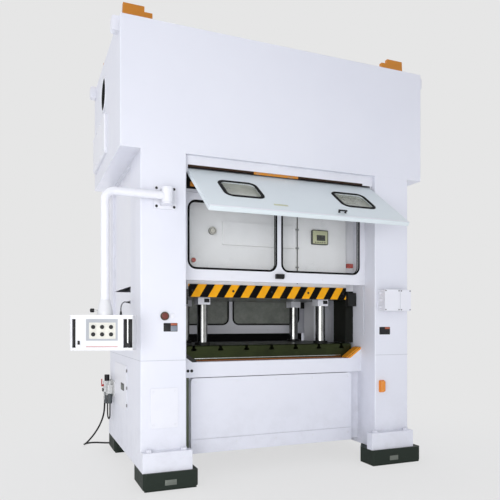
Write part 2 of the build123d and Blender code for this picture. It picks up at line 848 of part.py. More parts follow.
def make_drive():
    barrels = []
    rams = []
    top = crown_deck + barrel_height
    for side in sides:
        x = side * cylinder_x
        barrel = bar(barrel_radius, (x, 0, crown_deck), (x, 0, top))
        barrel += bar(barrel_flange_radius, (x, 0, crown_deck), (x, 0, crown_deck + barrel_flange_height))
        barrel -= bar(barrel_bore, (x, 0, crown_deck + barrel_end), (x, 0, top - barrel_end))
        gland_top = crown_deck + barrel_end + overrun
        barrel -= bar(ram_radius + ram_gap, (x, 0, crown_deck - overrun), (x, 0, gland_top))
        barrels.append(barrel)
        piston_top = top - barrel_end - piston_top_gap
        ram = bar(ram_radius, (x, 0, slide_top), (x, 0, piston_top))
        ram += bar(barrel_bore - ram_gap, (x, 0, piston_top - piston_height), (x, 0, piston_top))
        rams.append(ram + bar(ram_flange_radius, (x, 0, slide_top), (x, 0, slide_top + ram_flange_height)))
    nodes["cylinder_barrels"] = barrels
    nodes["piston_rams"] = rams

    tank_top = crown_deck + tank_height
    tank = block((-tank_half_width, tank_half_width), (tank_front, tank_back), (crown_deck, tank_top))
    tank = fillet(tank.edges().filter_by(Axis.Z), edge_radius)
    valve_y = (tank_front + tank_back) / 2
    valve_span = (valve_y - valve_depth / 2, valve_y + valve_depth / 2)
    valve = block((-valve_width / 2, valve_width / 2), valve_span, (tank_top, tank_top + valve_height))
    coil_z = tank_top + valve_height / 2
    for index in range(valve_coil_count):
        x = valve_width * ((index + 1) / (valve_coil_count + 1)) - valve_width / 2
        coil_y = valve_span[0] - valve_coil_length
        valve += bar(valve_coil_radius, (x, valve_span[0], coil_z), (x, coil_y, coil_z))
    nodes["oil_tank"] = [tank, valve]

    motor_end = motor_start + motor_length
    motor = bar(motor_radius, (motor_start, drive_y, drive_z), (motor_end, drive_y, drive_z))
    for index in range(motor_fin_count):
        angle = math.radians(360 / motor_fin_count * index)
        groove = Box(motor_length / 2, 2 * motor_fin_depth, motor_fin_width)
        place = Pos((motor_start + motor_end) / 2, drive_y, drive_z) * Rot(math.degrees(angle), 0, 0)
        motor -= place * Pos(0, motor_radius, 0) * groove
    foot_y = (drive_y - motor_foot_width / 2, drive_y + motor_foot_width / 2)
    motor += block((motor_start, motor_end), foot_y, (crown_deck, drive_z - motor_radius / 2))
    pump_start = pump_end - pump_length
    pump = bar(pump_radius, (pump_start, drive_y, drive_z), (pump_end, drive_y, drive_z))
    pump_foot_y = (drive_y - pump_radius, drive_y + pump_radius)
    pump += block((pump_start, pump_end), pump_foot_y, (crown_deck, drive_z))
    shaft_ends = ((pump_end - shaft_entry, drive_y, drive_z), (motor_start + shaft_entry, drive_y, drive_z))
    bore = bar(shaft_radius + running_gap, *shaft_ends)
    shaft_start = (pump_end - shaft_entry + seat_gap, drive_y, drive_z)
    shaft_end = (motor_start + shaft_entry - seat_gap, drive_y, drive_z)
    hub_middle = (pump_end + motor_start) / 2
    hub_start = (hub_middle - shaft_hub_length / 2, drive_y, drive_z)
    hub_end = (hub_middle + shaft_hub_length / 2, drive_y, drive_z)
    nodes["pump_set"] = [motor - bore, pump - bore]
    shaft = bar(shaft_radius, shaft_start, shaft_end)
    nodes["drive_shaft"] = [shaft + bar(shaft_hub_radius, hub_start, hub_end)]


def make_guard_door(name, y, bottom):
    half_width = half_opening + groove_depth - door_edge_gap
    front = y - door_thickness / 2
    zs = (bottom, bottom + door_height)
    frame = block((-half_width, half_width), (front, front + door_thickness), zs)
    panes = []
    window_z = (bottom + window_low, bottom + window_low + window_height)
    for side in sides:
        window_x = ordered(side * window_inner, side * window_outer)
        back = front + door_thickness + overrun
        frame -= panel_on_front(window_x, window_z, back, door_thickness + 2 * overrun, window_radius)
        pane_x = (window_x[0] + seat_gap, window_x[1] - seat_gap)
        pane_z = (window_z[0] + seat_gap, window_z[1] - seat_gap)
        pane_back = y + pane_thickness / 2
        panes.append(panel_on_front(pane_x, pane_z, pane_back, pane_thickness, window_radius - seat_gap))
    nodes[name] = [frame]
    nodes[name + "_panes"] = panes


def make_doors():
    make_guard_door("front_door", -door_y, door_bottom)
    make_guard_door("rear_door", door_y, door_bottom - door_drop)
    front = -door_y - door_thickness / 2
    zs = (door_bottom + latch_low, door_bottom + latch_low + latch_height)
    latch = block((-latch_width / 2, latch_width / 2), (front - latch_depth, front), zs)
    grip_y = front - latch_depth
    grip = bar(latch_grip, (-latch_width, grip_y, zs[0]), (latch_width, grip_y, zs[0]))
    nodes["door_latch"] = [latch - grip]


def make_visor():
    hinge = Pos(0, -visor_hinge_y, visor_hinge_z) * Rot(-visor_tilt, 0, 0)
    half = visor_thickness / 2
    panel = block((-visor_half_width, visor_half_width), (-half, half), (-visor_length, 0))
    panel = fillet(panel.edges().group_by(Axis.Z)[0], visor_edge)
    barrel_ends = ((-visor_half_width, 0, 0), (visor_half_width, 0, 0))
    panel += bar(visor_barrel_radius, *barrel_ends)
    window_z = (-visor_window_start - visor_window_height, -visor_window_start)
    panes = []
    ears = []
    for side in sides:
        window_x = ordered(side * visor_window_inner, side * (visor_window_inner + visor_window_width))
        thickness = visor_thickness + 2 * overrun
        panel -= panel_on_front(window_x, window_z, half + overrun, thickness, visor_window_radius)
        pane_x = (window_x[0] + seat_gap, window_x[1] - seat_gap)
        pane_z = (window_z[0] + seat_gap, window_z[1] - seat_gap)
        pane_y = visor_pane_thickness / 2
        pane_radius = visor_window_radius - seat_gap
        panes.append(hinge * panel_on_front(pane_x, pane_z, pane_y, visor_pane_thickness, pane_radius))
        tip = side * (visor_half_width - hinge_pin_entry)
        panel -= bar(hinge_pin_radius + running_gap, (tip, 0, 0), (side * (visor_half_width + overrun), 0, 0))
        pin_inner = side * (visor_half_width - hinge_pin_entry + seat_gap)
        ear_inner = side * (visor_half_width + seat_gap)
        ear_outer = side * (visor_half_width + seat_gap + hinge_ear_thickness)
        place = Pos(0, -visor_hinge_y, visor_hinge_z)
        ear = bar(hinge_ear_radius, (ear_inner, 0, 0), (ear_outer, 0, 0))
        ear_y = (-hinge_ear_radius, hinge_ear_radius)
        ear += block(ordered(ear_inner, ear_outer), ear_y, (0, visor_hinge_drop))
        ear += bar(hinge_pin_radius, (pin_inner, 0, 0), (ear_inner, 0, 0))
        ears.append(place * ear)
    nodes["visor"] = [hinge * panel]
    nodes["visor_panes"] = panes
    nodes["headers"] += ears


def make_front_fittings():
    front = -half_depth
    cover_x = (-plate_left, -plate_right)
    cover = panel_on_front(cover_x, (plate_bottom, plate_top), front, plate_thickness, plate_radius)
    nodes["bed_doors"] += [cover]

    box_x = (box_left, box_left + box_width)
    box_z = (box_bottom, box_bottom + box_height)
    case = panel_on_front(box_x, box_z, front, box_depth, box_radius)
    split = box_left + lid_split
    lid_front = front - box_depth
    left_lid = panel_on_front((box_left, split - lid_seam / 2), box_z, lid_front, lid_thickness, box_radius)
    right_x = (split + lid_seam / 2, box_left + box_width)
    right_lid = panel_on_front(right_x, box_z, lid_front, lid_thickness, box_radius)
    nodes["junction_box"] = [case, left_lid, right_lid]

    lamp_x_span = (lamp_x - lamp_width / 2, lamp_x + lamp_width / 2)
    lamp_z_span = (lamp_z - lamp_height / 2, lamp_z + lamp_height / 2)
    base = panel_on_front(lamp_x_span, lamp_z_span, front, lamp_base, lamp_radius)
    lens_x = (lamp_x_span[0] + lamp_base, lamp_x_span[1] - lamp_base)
    lens_z = (lamp_z_span[0] + lamp_base, lamp_z_span[1] - lamp_base)
    lens_depth = lamp_depth - lamp_base
    lens = panel_on_front(lens_x, lens_z, front - lamp_base, lens_depth, lamp_radius - lamp_base / 2)
    lens = fillet(lens.faces().sort_by(Axis.Y)[0].edges(), lamp_base)
    nodes["signal_lamp"] = [base, lens]

    centre = (stop_x, front, stop_z)
    bezel = bar(stop_bezel_radius, centre, (stop_x, front - stop_bezel_depth, stop_z))
    bore_front = front - stop_bezel_depth - overrun
    bezel -= bar(stop_radius + stop_gap, (stop_x, front + overrun, stop_z), (stop_x, bore_front, stop_z))
    back = front - stop_travel - stop_back_gap
    button = bar(stop_radius, (stop_x, back, stop_z), (stop_x, back - stop_length, stop_z))
    nodes["stop_bezel"] = [bezel]
    nodes["stop_button"] = [fillet(button.faces().sort_by(Axis.Y)[0].edges(), stop_radius / 4)]


def make_arm():
    front = -half_depth
    plate_x = (arm_x - base_width / 2, arm_x + base_width / 2)
    plate_z = (arm_z - base_height / 2, arm_z + base_height / 2)
    bracket = panel_on_front(plate_x, plate_z, front, base_thickness, edge_radius)
    ear_x = (arm_x - ear_width / 2, arm_x + ear_width / 2)
    half_boss = arm_boss_height / 2 + ear_gap
    for side in sides:
        ear_z = ordered(arm_z + side * half_boss, arm_z + side * (half_boss + ear_thickness))
        bracket += block(ear_x, (arm_y, front), ear_z)
        bracket += bar(ear_width / 2, (arm_x, arm_y, ear_z[0]), (arm_x, arm_y, ear_z[1]))
    pin_ends = ((arm_x, arm_y, arm_z - half_boss), (arm_x, arm_y, arm_z + half_boss))
    nodes["arm_bracket"] = [bracket + bar(arm_pin_radius, *pin_ends)]

    boss_low = arm_z - arm_boss_height / 2
    boss_high = arm_z + arm_boss_height / 2
    elbow = (arm_x - arm_reach, arm_y + arm_lean, arm_z)
    path = FilletPolyline((arm_x, arm_y, arm_z), elbow, (elbow[0], elbow[1], arm_bottom), radius=arm_bend)
    tube = sweep(Plane(origin=path @ 0, z_dir=path % 0) * Circle(arm_radius), path=path)
    arm = tube + bar(arm_boss_radius, (arm_x, arm_y, boss_low), (arm_x, arm_y, boss_high))
    pin_hole = arm_pin_radius + running_gap
    arm -= bar(pin_hole, (arm_x, arm_y, boss_low - overrun), (arm_x, arm_y, boss_high + overrun))
    nodes["pendant_arm"] = [arm]


def make_pendant():
    place = Pos(arm_x - arm_reach, arm_y + arm_lean, pendant_bottom) * Rot(0, 0, pendant_turn)
    span_x = (pendant_shift - pendant_half_width, pendant_shift + pendant_half_width)
    case = block(span_x, (-pendant_half_depth, pendant_half_depth), (0, pendant_height))
    case = fillet(case.edges().filter_by(Axis.Z), pendant_edge)
    front = -pendant_half_depth
    face_x = (face_left, face_right)
    face_z = (face_bottom, face_top)
    case -= block(face_x, (front - overrun, front + face_recess), face_z)
    slot_z = (end_slot_bottom, end_slot_top)
    slot_y = (front - overrun, front + end_slot_depth)
    case -= block((left_slot_start, left_slot_start + left_slot_width), slot_y, slot_z)
    case -= block((right_slot_start, right_slot_start + right_slot_width), slot_y, slot_z)

    neck_profile = Polyline(
        (0, 0),
        (neck_foot_radius, 0),
        (neck_foot_radius, neck_foot_height),
        (neck_top_radius, neck_height),
        (0, neck_height),
        close=True,
    )
    neck = Pos(0, 0, pendant_height) * revolve(Plane.XZ * make_face(neck_profile), Axis.Z)
    bore_low = pendant_height + neck_height - neck_bore_depth
    neck -= bar(arm_radius + running_gap, (0, 0, bore_low), (0, 0, pendant_height + neck_height + overrun))

    face = block(
        (face_left + seat_gap, face_right - seat_gap),
        (front + face_recess - face_thickness, front + face_recess),
        (face_bottom + seat_gap, face_top - seat_gap),
    )
    face_front = front + face_recess - face_thickness
    for row in range(button_rows):
        for column in range(button_columns):
            x = button_first_x + button_pitch_x * column
            z = button_low_z + button_pitch_z * row
            well = (x, front + face_recess + button_well, z)
            hole = bar(button_radius + button_gap, (x, front - overrun, z), well)
            case -= hole
            face -= hole
            tip = face_front - button_proud
            cap = bar(button_radius, (x, tip + button_length, z), (x, tip, z))
            cap = fillet(cap.faces().sort_by(Axis.Y)[0].edges(), button_edge)
            nodes[f"pendant_button_{row * button_columns + column + 1}"] = [place * cap]
    nodes["pendant_case"] = [place * (case + neck)]
    nodes["pendant_face"] = [place * face]

    clamp_z = pendant_height + clamp_height
    slope = (neck_foot_radius - neck_top_radius) / (neck_height - neck_foot_height)
    surface = neck_foot_radius - slope * (clamp_height - clamp_stem_radius - neck_foot_height) + seat_gap
    stem_tip = -surface - clamp_stem
    clamp = bar(clamp_stem_radius, (-surface, 0, clamp_z), (stem_tip, 0, clamp_z))
    clamp += bar(clamp_radius, (stem_tip, 0, clamp_z), (stem_tip - clamp_length, 0, clamp_z))
    grip_y = front + end_slot_depth - grip_radius - seat_gap
    grip = bar(grip_radius, (grip_x, grip_y, end_slot_bottom), (grip_x, grip_y, end_slot_top))
    nodes["pendant_hardware"] = [place * clamp, place * grip]


def make_air_unit():
    wall = -half_frame
    plate_face = wall - air_plate_thickness
    plate = block((plate_face, wall), (air_plate_front, air_plate_back), (air_plate_bottom, air_plate_top))
    plate = fillet(plate.edges().filter_by(Axis.X), regulator_edge)

    half = regulator_width / 2
    centre_x = plate_face - half
    top = regulator_bottom + regulator_height
    body_y = (regulator_y - half, regulator_y + half)
    body = block((plate_face - regulator_width, plate_face), body_y, (regulator_bottom, top))
    body = fillet(body.edges().filter_by(Axis.Z), regulator_edge)
    elbow_z = (elbow_bottom, elbow_bottom + elbow_height)
    half_elbow = elbow_width / 2
    body += block((hose_x - half_elbow, hose_x + half_elbow), (body_y[1], hose_y + half_elbow), elbow_z)
    body += block((link_x - half_elbow, link_x + half_elbow), (link_y - half_elbow, body_y[0]), elbow_z)
    nipple_low = elbow_bottom - hose_nipple_length
    body += bar(nipple_radius, (hose_x, hose_y, elbow_bottom), (hose_x, hose_y, nipple_low))
    stem_top = top + knob_stem_height
    body += bar(knob_stem_radius, (centre_x, regulator_y, top), (centre_x, regulator_y, stem_top))
    pivot_x = plate_face - regulator_width
    lever_tip = pivot_x - lever_pivot_length
    body += bar(lever_pivot_radius, (pivot_x, regulator_y, lever_z), (lever_tip, regulator_y, lever_z))
    nodes["air_regulator"] = [body]

    bowl_low = (centre_x, regulator_y, regulator_bottom - bowl_height)
    bowl = bar(bowl_radius, bowl_low, (centre_x, regulator_y, regulator_bottom))
    bowl = fillet(bowl.faces().sort_by(Axis.Z)[0].edges(), bowl_dome)
    oiler_x = plate_face - oiler_width / 2
    oiler_bowl_low = regulator_bottom - oiler_bowl_height
    oiler_seat = (oiler_x, oiler_y, regulator_bottom)
    oiler_bowl = bar(oiler_bowl_radius, (oiler_x, oiler_y, oiler_bowl_low), oiler_seat)
    nodes["air_bowls"] = [bowl, fillet(oiler_bowl.faces().sort_by(Axis.Z)[0].edges(), bowl_dome / 2)]

    oiler_span = (oiler_y - oiler_width / 2, oiler_y + oiler_width / 2)
    oiler_top = regulator_bottom + oiler_height
    oiler = block((plate_face - oiler_width, plate_face), oiler_span, (regulator_bottom, oiler_top))
    oiler = fillet(oiler.edges().filter_by(Axis.Z), regulator_edge)
    oiler_tip = (oiler_x, oiler_y, oiler_top + oiler_knob_height)
    oiler += bar(oiler_knob_radius, (oiler_x, oiler_y, oiler_top), oiler_tip)
    oiler += bar(nipple_radius, (oiler_x, oiler_span[1], nipple_z), (oiler_x, body_y[0], nipple_z))
    nodes["air_oiler"] = [plate, oiler]

    knob_low = top + seat_gap
    knob_tip = (centre_x, regulator_y, knob_low + knob_height)
    knob = bar(knob_radius, (centre_x, regulator_y, knob_low), knob_tip)
    knob = fillet(knob.faces().sort_by(Axis.Z)[-1].edges(), knob_radius / 4)
    socket_top = (centre_x, regulator_y, stem_top + seat_gap)
    knob -= bar(knob_stem_radius + running_gap, (centre_x, regulator_y, top), socket_top)
    nodes["regulator_knob"] = [knob]

    blade_x = (lever_tip + seat_gap - lever_blade_thickness, pivot_x - seat_gap)
    hub_radius = lever_blade_width / 2
    lever = bar(hub_radius, (blade_x[0], regulator_y, lever_z), (blade_x[1], regulator_y, lever_z))
    blade_y = (regulator_y - hub_radius, regulator_y + hub_radius)
    blade_tip = blade_x[0] + lever_blade_thickness
    lever += block((blade_x[0], blade_tip), blade_y, (lever_z, lever_z + lever_blade_length))
    pivot_hole = lever_pivot_radius + running_gap
    hole_end = (pivot_x + overrun, regulator_y, lever_z)
    lever -= bar(pivot_hole, (lever_tip - seat_gap, regulator_y, lever_z), hole_end)
    nodes["valve_lever"] = [lever]

    nodes["air_hose"] = [hose_along(hose_route, hose_radius)]
    end = Vector(hose_route[-1])
    along = (end - Vector(hose_route[-2])).normalized()
    collar_start = end + along * coupling_collar_start
    coupling = bar(coupling_radius, end, end + along * coupling_length)
    coupling += bar(coupling_collar_radius, collar_start, collar_start + along * coupling_collar_length)
    floor_cut = block(
        ordered(end.X - coupling_length, end.X + 2 * coupling_length),
        ordered(end.Y - coupling_length, end.Y + coupling_length),
        (-coupling_length, 0),
    )
    nodes["hose_coupling"] = [coupling - floor_cut]
    link_path = FilletPolyline(
        (link_x, link_y, elbow_bottom),
        (link_x, link_y, link_low),
        (oiler_x, oiler_y, link_low),
        (oiler_x, oiler_y, oiler_bowl_low),
        radius=link_bend,
    )
    link = sweep(Plane(origin=link_path @ 0, z_dir=link_path % 0) * Circle(link_radius), path=link_path)
    nodes["link_hose"] = [link]


def make_pendant_lead():
    cover_face = -half_frame + guard_recess
    start = (cover_face, lead_entry_y, lead_entry_z)
    tip = (cover_face - gland_length, lead_entry_y, lead_entry_z)
    nodes["lead_gland"] = [bar(gland_radius, start, tip)]
    nodes["pendant_lead"] = [hose_along(lead_route, lead_radius)]


make_feet()
make_bed()
make_bolster()
make_uprights()
make_side_guards()
make_crown()
make_tie_rods()
make_slide()
make_drive()
make_doors()
make_visor()
make_front_fittings()
make_arm()
make_pendant()
make_air_unit()
make_pendant_lead()

os.makedirs("parts", exist_ok=True)
for name, solids in nodes.items():
    single = [piece for solid in solids for piece in solid.solids()]
    export_step(single[0] if len(single) == 1 else Compound(children=single), f"parts/{name}.step")
print("nodes", len(nodes))
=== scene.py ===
import math

import bmesh
import bpy
from mathutils import Matrix, Vector


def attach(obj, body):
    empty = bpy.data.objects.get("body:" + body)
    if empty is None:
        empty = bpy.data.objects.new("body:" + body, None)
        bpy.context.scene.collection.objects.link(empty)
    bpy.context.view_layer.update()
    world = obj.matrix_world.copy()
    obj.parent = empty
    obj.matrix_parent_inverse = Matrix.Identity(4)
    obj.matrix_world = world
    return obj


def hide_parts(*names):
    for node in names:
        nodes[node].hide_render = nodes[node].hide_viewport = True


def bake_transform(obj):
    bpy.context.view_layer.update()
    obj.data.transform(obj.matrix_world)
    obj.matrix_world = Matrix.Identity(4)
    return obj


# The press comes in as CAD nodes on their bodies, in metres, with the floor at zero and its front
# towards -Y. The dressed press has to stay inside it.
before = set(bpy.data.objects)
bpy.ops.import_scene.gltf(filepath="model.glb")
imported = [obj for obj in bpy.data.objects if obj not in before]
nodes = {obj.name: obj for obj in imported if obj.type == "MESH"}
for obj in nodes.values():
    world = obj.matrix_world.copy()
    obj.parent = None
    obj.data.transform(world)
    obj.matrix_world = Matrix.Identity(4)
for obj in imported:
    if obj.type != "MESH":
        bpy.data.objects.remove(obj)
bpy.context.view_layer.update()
scene = bpy.context.scene
scene.view_settings.view_transform = "Standard"

# Studio: the press is seen from its left at eye height by a level camera whose view is shifted up.
# A pale floor meets a backdrop of the same tone, and seven soft lamps and an even sky light it.
backdrop_tone = (0.791, 0.791, 0.791, 1.0)
sky_tone = (0.93, 0.95, 1.0, 1.0)
sky_strength = 0.54
camera_data = bpy.data.cameras.new("studio_camera")
camera_data.sensor_width = 36.0
camera_data.lens = 40.07
camera_data.shift_y = 0.146
camera = bpy.data.objects.new("studio_camera", camera_data)
camera.location = (-2.2518, -5.4252, 1.3739)
camera.rotation_euler = (math.radians(90), 0, math.radians(-22.34))
scene.collection.objects.link(camera)
scene.camera = camera


def step(tree, kind, inputs=None, **settings):
    """Adds a node, sets its options, and feeds its inputs with values or with other sockets."""
    node = tree.nodes.new(kind)
    for key, value in settings.items():
        setattr(node, key, value)
    for key, value in (inputs or {}).items():
        if isinstance(value, bpy.types.NodeSocket):
            tree.links.new(value, node.inputs[key])
        else:
            node.inputs[key].default_value = value
    return node


def maths(tree, operation, *values):
    """One operation on values or sockets."""
    return step(tree, "ShaderNodeMath", dict(enumerate(values)), operation=operation).outputs[0]


def product(tree, *values):
    """The product of several values."""
    result = values[0]
    for value in values[1:]:
        result = maths(tree, "MULTIPLY", result, value)
    return result


def spread(tree, value, low, high, to_low=0.0, to_high=1.0):
    """Stretches the part of a value between low and high over a new span."""
    span = {"Value": value, "From Min": low, "From Max": high, "To Min": to_low, "To Max": to_high}
    return step(tree, "ShaderNodeMapRange", span).outputs["Result"]


def object_place(tree):
    """The point that is shaded, in the piece's own coordinates."""
    return step(tree, "ShaderNodeTexCoord").outputs["Object"]


def bare_material(label):
    """A new material and its tree, with no nodes yet."""
    material = bpy.data.materials.new(label)
    material.use_nodes = True
    material.node_tree.nodes.clear()
    return material, material.node_tree


def seen_directly(tree):
    """A mask that is 1 for rays that show the backdrop: from the camera, off gloss or through glass."""
    rays = step(tree, "ShaderNodeLightPath")
    mask = rays.outputs["Is Camera Ray"]
    for other in ("Is Glossy Ray", "Is Transmission Ray"):
        mask = maths(tree, "MAXIMUM", mask, rays.outputs[other])
    return mask


world = bpy.data.worlds.new("studio_sky")
scene.world = world
world.use_nodes = True
tree = world.node_tree
tree.nodes.clear()
sky = step(tree, "ShaderNodeBackground", {"Color": sky_tone, "Strength": sky_strength})
backdrop = step(tree, "ShaderNodeBackground", {"Color": backdrop_tone, "Strength": 1.0})
shown = seen_directly(tree)
mixed = step(tree, "ShaderNodeMixShader", {0: shown, 1: sky.outputs[0], 2: backdrop.outputs[0]})
step(tree, "ShaderNodeOutputWorld", {"Surface": mixed.outputs[0]})

floor_half = 30.0
floor_tone = (0.93, 0.93, 0.93, 1)
floor_corners = [(x * floor_half, y * floor_half, 0) for x, y in ((-1, -1), (1, -1), (1, 1), (-1, 1))]
floor_mesh = bpy.data.meshes.new("studio_floor")
floor_mesh.from_pydata(floor_corners, [], [(0, 1, 2, 3)])
floor = bpy.data.objects.new("studio_floor", floor_mesh)
scene.collection.objects.link(floor)
floor_material, tree = bare_material("studio_floor")
matt = step(tree, "ShaderNodeBsdfDiffuse", {"Color": floor_tone})
glow = step(tree, "ShaderNodeEmission", {"Color": backdrop_tone, "Strength": 1.0})
reach = step(tree, "ShaderNodeVectorMath", {0: object_place(tree)}, operation="LENGTH").outputs["Value"]
share = product(tree, seen_directly(tree), spread(tree, reach, 1.6, 4.5, 0.80, 1.0))
mixed = step(tree, "ShaderNodeMixShader", {0: share, 1: matt.outputs[0], 2: glow.outputs[0]})
step(tree, "ShaderNodeOutputMaterial", {"Surface": mixed.outputs[0]})
floor_mesh.materials.append(floor_material)

for label, place, aim, size, watts in (
    ("key_lamp", (-4.3, -5.7, 1.3), (-0.2, 0.0, 1.9), 3.0, 128),
    ("front_lamp", (-1.8, -7.2, 1.5), (0.0, -0.5, 1.75), 2.6, 80),
    ("fill_lamp", (6.5, -6.0, 3.2), (0.6, 0.0, 1.8), 5.0, 16),
    ("side_lamp", (-8.0, 0.0, 6.0), (-1.5, 0.0, 3.8), 4.0, 108),
    ("rear_lamp", (1.5, 8.0, 3.0), (0.0, 0.0, 2.0), 5.0, 120),
    ("right_lamp", (8.0, 1.0, 2.6), (1.3, 0.0, 2.2), 4.0, 60),
    ("top_lamp", (0.0, 1.0, 9.0), (0.0, 0.4, 3.9), 4.0, 130),
):
    lamp_data = bpy.data.lights.new(label, "AREA")
    lamp_data.size = size
    lamp_data.energy = watts
    lamp = bpy.data.objects.new(label, lamp_data)
    lamp.location = place
    lamp.rotation_euler = (Vector(aim) - Vector(place)).to_track_quat("-Z", "Y").to_euler()
    scene.collection.objects.link(lamp)


# Feet: four moulded rubber pads carry the legs, and on each a thick steel block is welded to the leg
# for the levelling bolts. A small bare plate is riveted to each pad's outer face.
surface_outputs = {"Colour": "Color", "Roughness": "Float", "Height": "Float"}


def new_group(label, **inputs):
    """A shader node group for a surface, with its inputs by kind of socket, and its two ends."""
    tree = bpy.data.node_groups.new(label, "ShaderNodeTree")
    for kind, names in inputs.items():
        for name in names:
            tree.interface.new_socket(name, in_out="INPUT", socket_type=f"NodeSocket{kind}")
    for name, kind in surface_outputs.items():
        tree.interface.new_socket(name, in_out="OUTPUT", socket_type=f"NodeSocket{kind}")
    return tree, tree.nodes.new("NodeGroupInput").outputs, tree.nodes.new("NodeGroupOutput")


def give(tree, end, *results):
    """Joins a surface group's colour, roughness and height to its end."""
    for name, socket in zip(surface_outputs, results):
        tree.links.new(socket, end.inputs[name])


def axes_of(tree, vector):
    """The three parts of a vector, by X, Y and Z."""
    return step(tree, "ShaderNodeSeparateXYZ", {0: vector}).outputs


def blend_colours(tree, mask, first, second):
    """The second colour over the first where the mask is 1."""
    return step(tree, "ShaderNodeMixRGB", {"Fac": mask, "Color1": first, "Color2": second}).outputs["Color"]


def mottle(tree, place, scale, detail=3.0, roughness=0.55):
    """Cloudy noise over the surface, from 0 to 1."""
    values = {"Vector": place, "Scale": scale, "Detail": detail, "Roughness": roughness}
    return step(tree, "ShaderNodeTexNoise", values).outputs["Fac"]


def moulded_skin_group():
    """Moulded rubber and plastic: a fine grain, dust on what faces up, and a slow change of tone."""
    amounts = ("Grain", "Base Roughness", "Dust Amount")
    tree, given, end = new_group("Moulded skin", Color=("Colour", "Dust"), Float=amounts)
    place = object_place(tree)
    grain = mottle(tree, place, given["Grain"], 2.0)
    cloud = mottle(tree, place, 9.0, 5.0, 0.65)
    normal = step(tree, "ShaderNodeNewGeometry").outputs["Normal"]
    upward = spread(tree, axes_of(tree, normal)["Z"], 0.1, 0.9, 0.12, 1.0)
    dust = product(tree, upward, spread(tree, cloud, 0.35, 0.72), given["Dust Amount"])
    tone = blend_colours(tree, dust, given["Colour"], given["Dust"])
    rough = maths(tree, "ADD", spread(tree, cloud, 0.3, 0.7, -0.08, 0.10), given["Base Roughness"])
    give(tree, end, tone, rough, grain)
    return tree


def relief(tree, height, strength, distance):
    """The surface's normal, tilted by a height."""
    values = {"Strength": strength, "Distance": distance, "Height": height}
    return step(tree, "ShaderNodeBump", values).outputs["Normal"]


def principled(tree, values):
    """Ends a material's tree in one shader."""
    finish = step(tree, "ShaderNodeBsdfPrincipled", values)
    step(tree, "ShaderNodeOutputMaterial", {"Surface": finish.outputs["BSDF"]})


def surface(label, group, values, bump, shader):
    """A material whose colour, roughness and relief come from a shader group with its own values."""
    material, tree = bare_material(label)
    skin = step(tree, "ShaderNodeGroup", node_tree=group)
    for key, value in values.items():
        skin.inputs[key].default_value = value
    links = {"Base Color": skin.outputs["Colour"], "Roughness": skin.outputs["Roughness"]}
    links["Normal"] = relief(tree, skin.outputs["Height"], *bump)
    links.update({key.replace("_", " "): value for key, value in shader.items()})
    principled(tree, links)
    return material


def dress(material, *names):
    """Gives CAD nodes a finished material."""
    for name in names:
        for place in nodes[name].material_slots:
            place.material = material


moulded_skin = moulded_skin_group()


def moulded(label, colour, dust, grain, roughness, dust_amount, bump, **shader):
    """A moulded rubber or plastic."""
    values = {"Colour": (*colour, 1), "Dust": (*dust, 1), "Grain": grain}
    values.update({"Base Roughness": roughness, "Dust Amount": dust_amount})
    return surface(label, moulded_skin, values, bump, shader)


pad_rubber = moulded(
    "pad_rubber", colour=(0.017, 0.025, 0.019), dust=(0.09, 0.10, 0.08), grain=260.0, roughness=0.62,
    dust_amount=0.35, bump=(0.35, 0.003), Specular_IOR_Level=0.2,
)
dress(pad_rubber, "isolator_pads")


def paint_film_group():
    """Sprayed paint: orange peel, faint clouds of tone, painted shade in corners, dirt low down, wear on
    edges.
    """
    tones = ("Colour", "Shade", "Grime Shade", "Bare")
    amounts = ("Base Roughness", "Grime Shade Amount", "Wear Amount")
    tree, given, end = new_group("Paint film", Color=tones, Float=amounts)
    place = object_place(tree)
    cloud = mottle(tree, place, 0.9)
    smear = mottle(tree, place, 6.0, 8.0, 0.68)
    peel = mottle(tree, place, 180.0, 1.0)
    tone = blend_colours(tree, spread(tree, cloud, 0.3, 0.7), given["Colour"], given["Shade"])
    # Painted shade: where little of the sky reaches, in corners and recesses, the paint darkens.
    open_sky = step(tree, "ShaderNodeAmbientOcclusion", {"Distance": 0.14}, samples=6).outputs["AO"]
    corner_shade = spread(tree, open_sky, 0.25, 0.95, 1.0, 0.0)
    corner_shade = product(tree, corner_shade, spread(tree, smear, 0.30, 0.70, 0.25, 1.0), given["Grime Shade Amount"])
    tone = blend_colours(tree, corner_shade, tone, given["Grime Shade"])
    low = spread(tree, axes_of(tree, place)["Z"], 0.15, 0.85, 1.0, 0.0)
    low = product(tree, low, spread(tree, smear, 0.45, 0.72), given["Grime Shade Amount"], 0.45)
    tone = blend_colours(tree, low, tone, given["Grime Shade"])
    true_normal = step(tree, "ShaderNodeNewGeometry").outputs["Normal"]
    soft_normal = step(tree, "ShaderNodeBevel", {"Radius": 0.008}, samples=4).outputs["Normal"]
    dot = step(tree, "ShaderNodeVectorMath", {0: true_normal, 1: soft_normal}, operation="DOT_PRODUCT")
    edge = spread(tree, dot.outputs["Value"], 0.985, 0.80)
    chips = spread(tree, mottle(tree, place, 31.0, 6.0, 0.7), 0.53, 0.63)
    tone = blend_colours(tree, product(tree, edge, chips, given["Wear Amount"]), tone, given["Bare"])
    rough = maths(tree, "ADD", spread(tree, smear, 0.3, 0.7, -0.06, 0.10), given["Base Roughness"])
    give(tree, end, tone, rough, peel)
    return tree


paint_film = paint_film_group()


def painted(label, colour, shade, grime_shade, bare, roughness, grime_shade_amount, wear, bump=(0.2, 0.002), **shader):
    """A sprayed paint."""
    values = {"Colour": (*colour, 1), "Shade": (*shade, 1), "Grime Shade": (*grime_shade, 1), "Bare": (*bare, 1)}
    values.update({"Base Roughness": roughness, "Grime Shade Amount": grime_shade_amount, "Wear Amount": wear})
    return surface(label, paint_film, values, bump, shader)


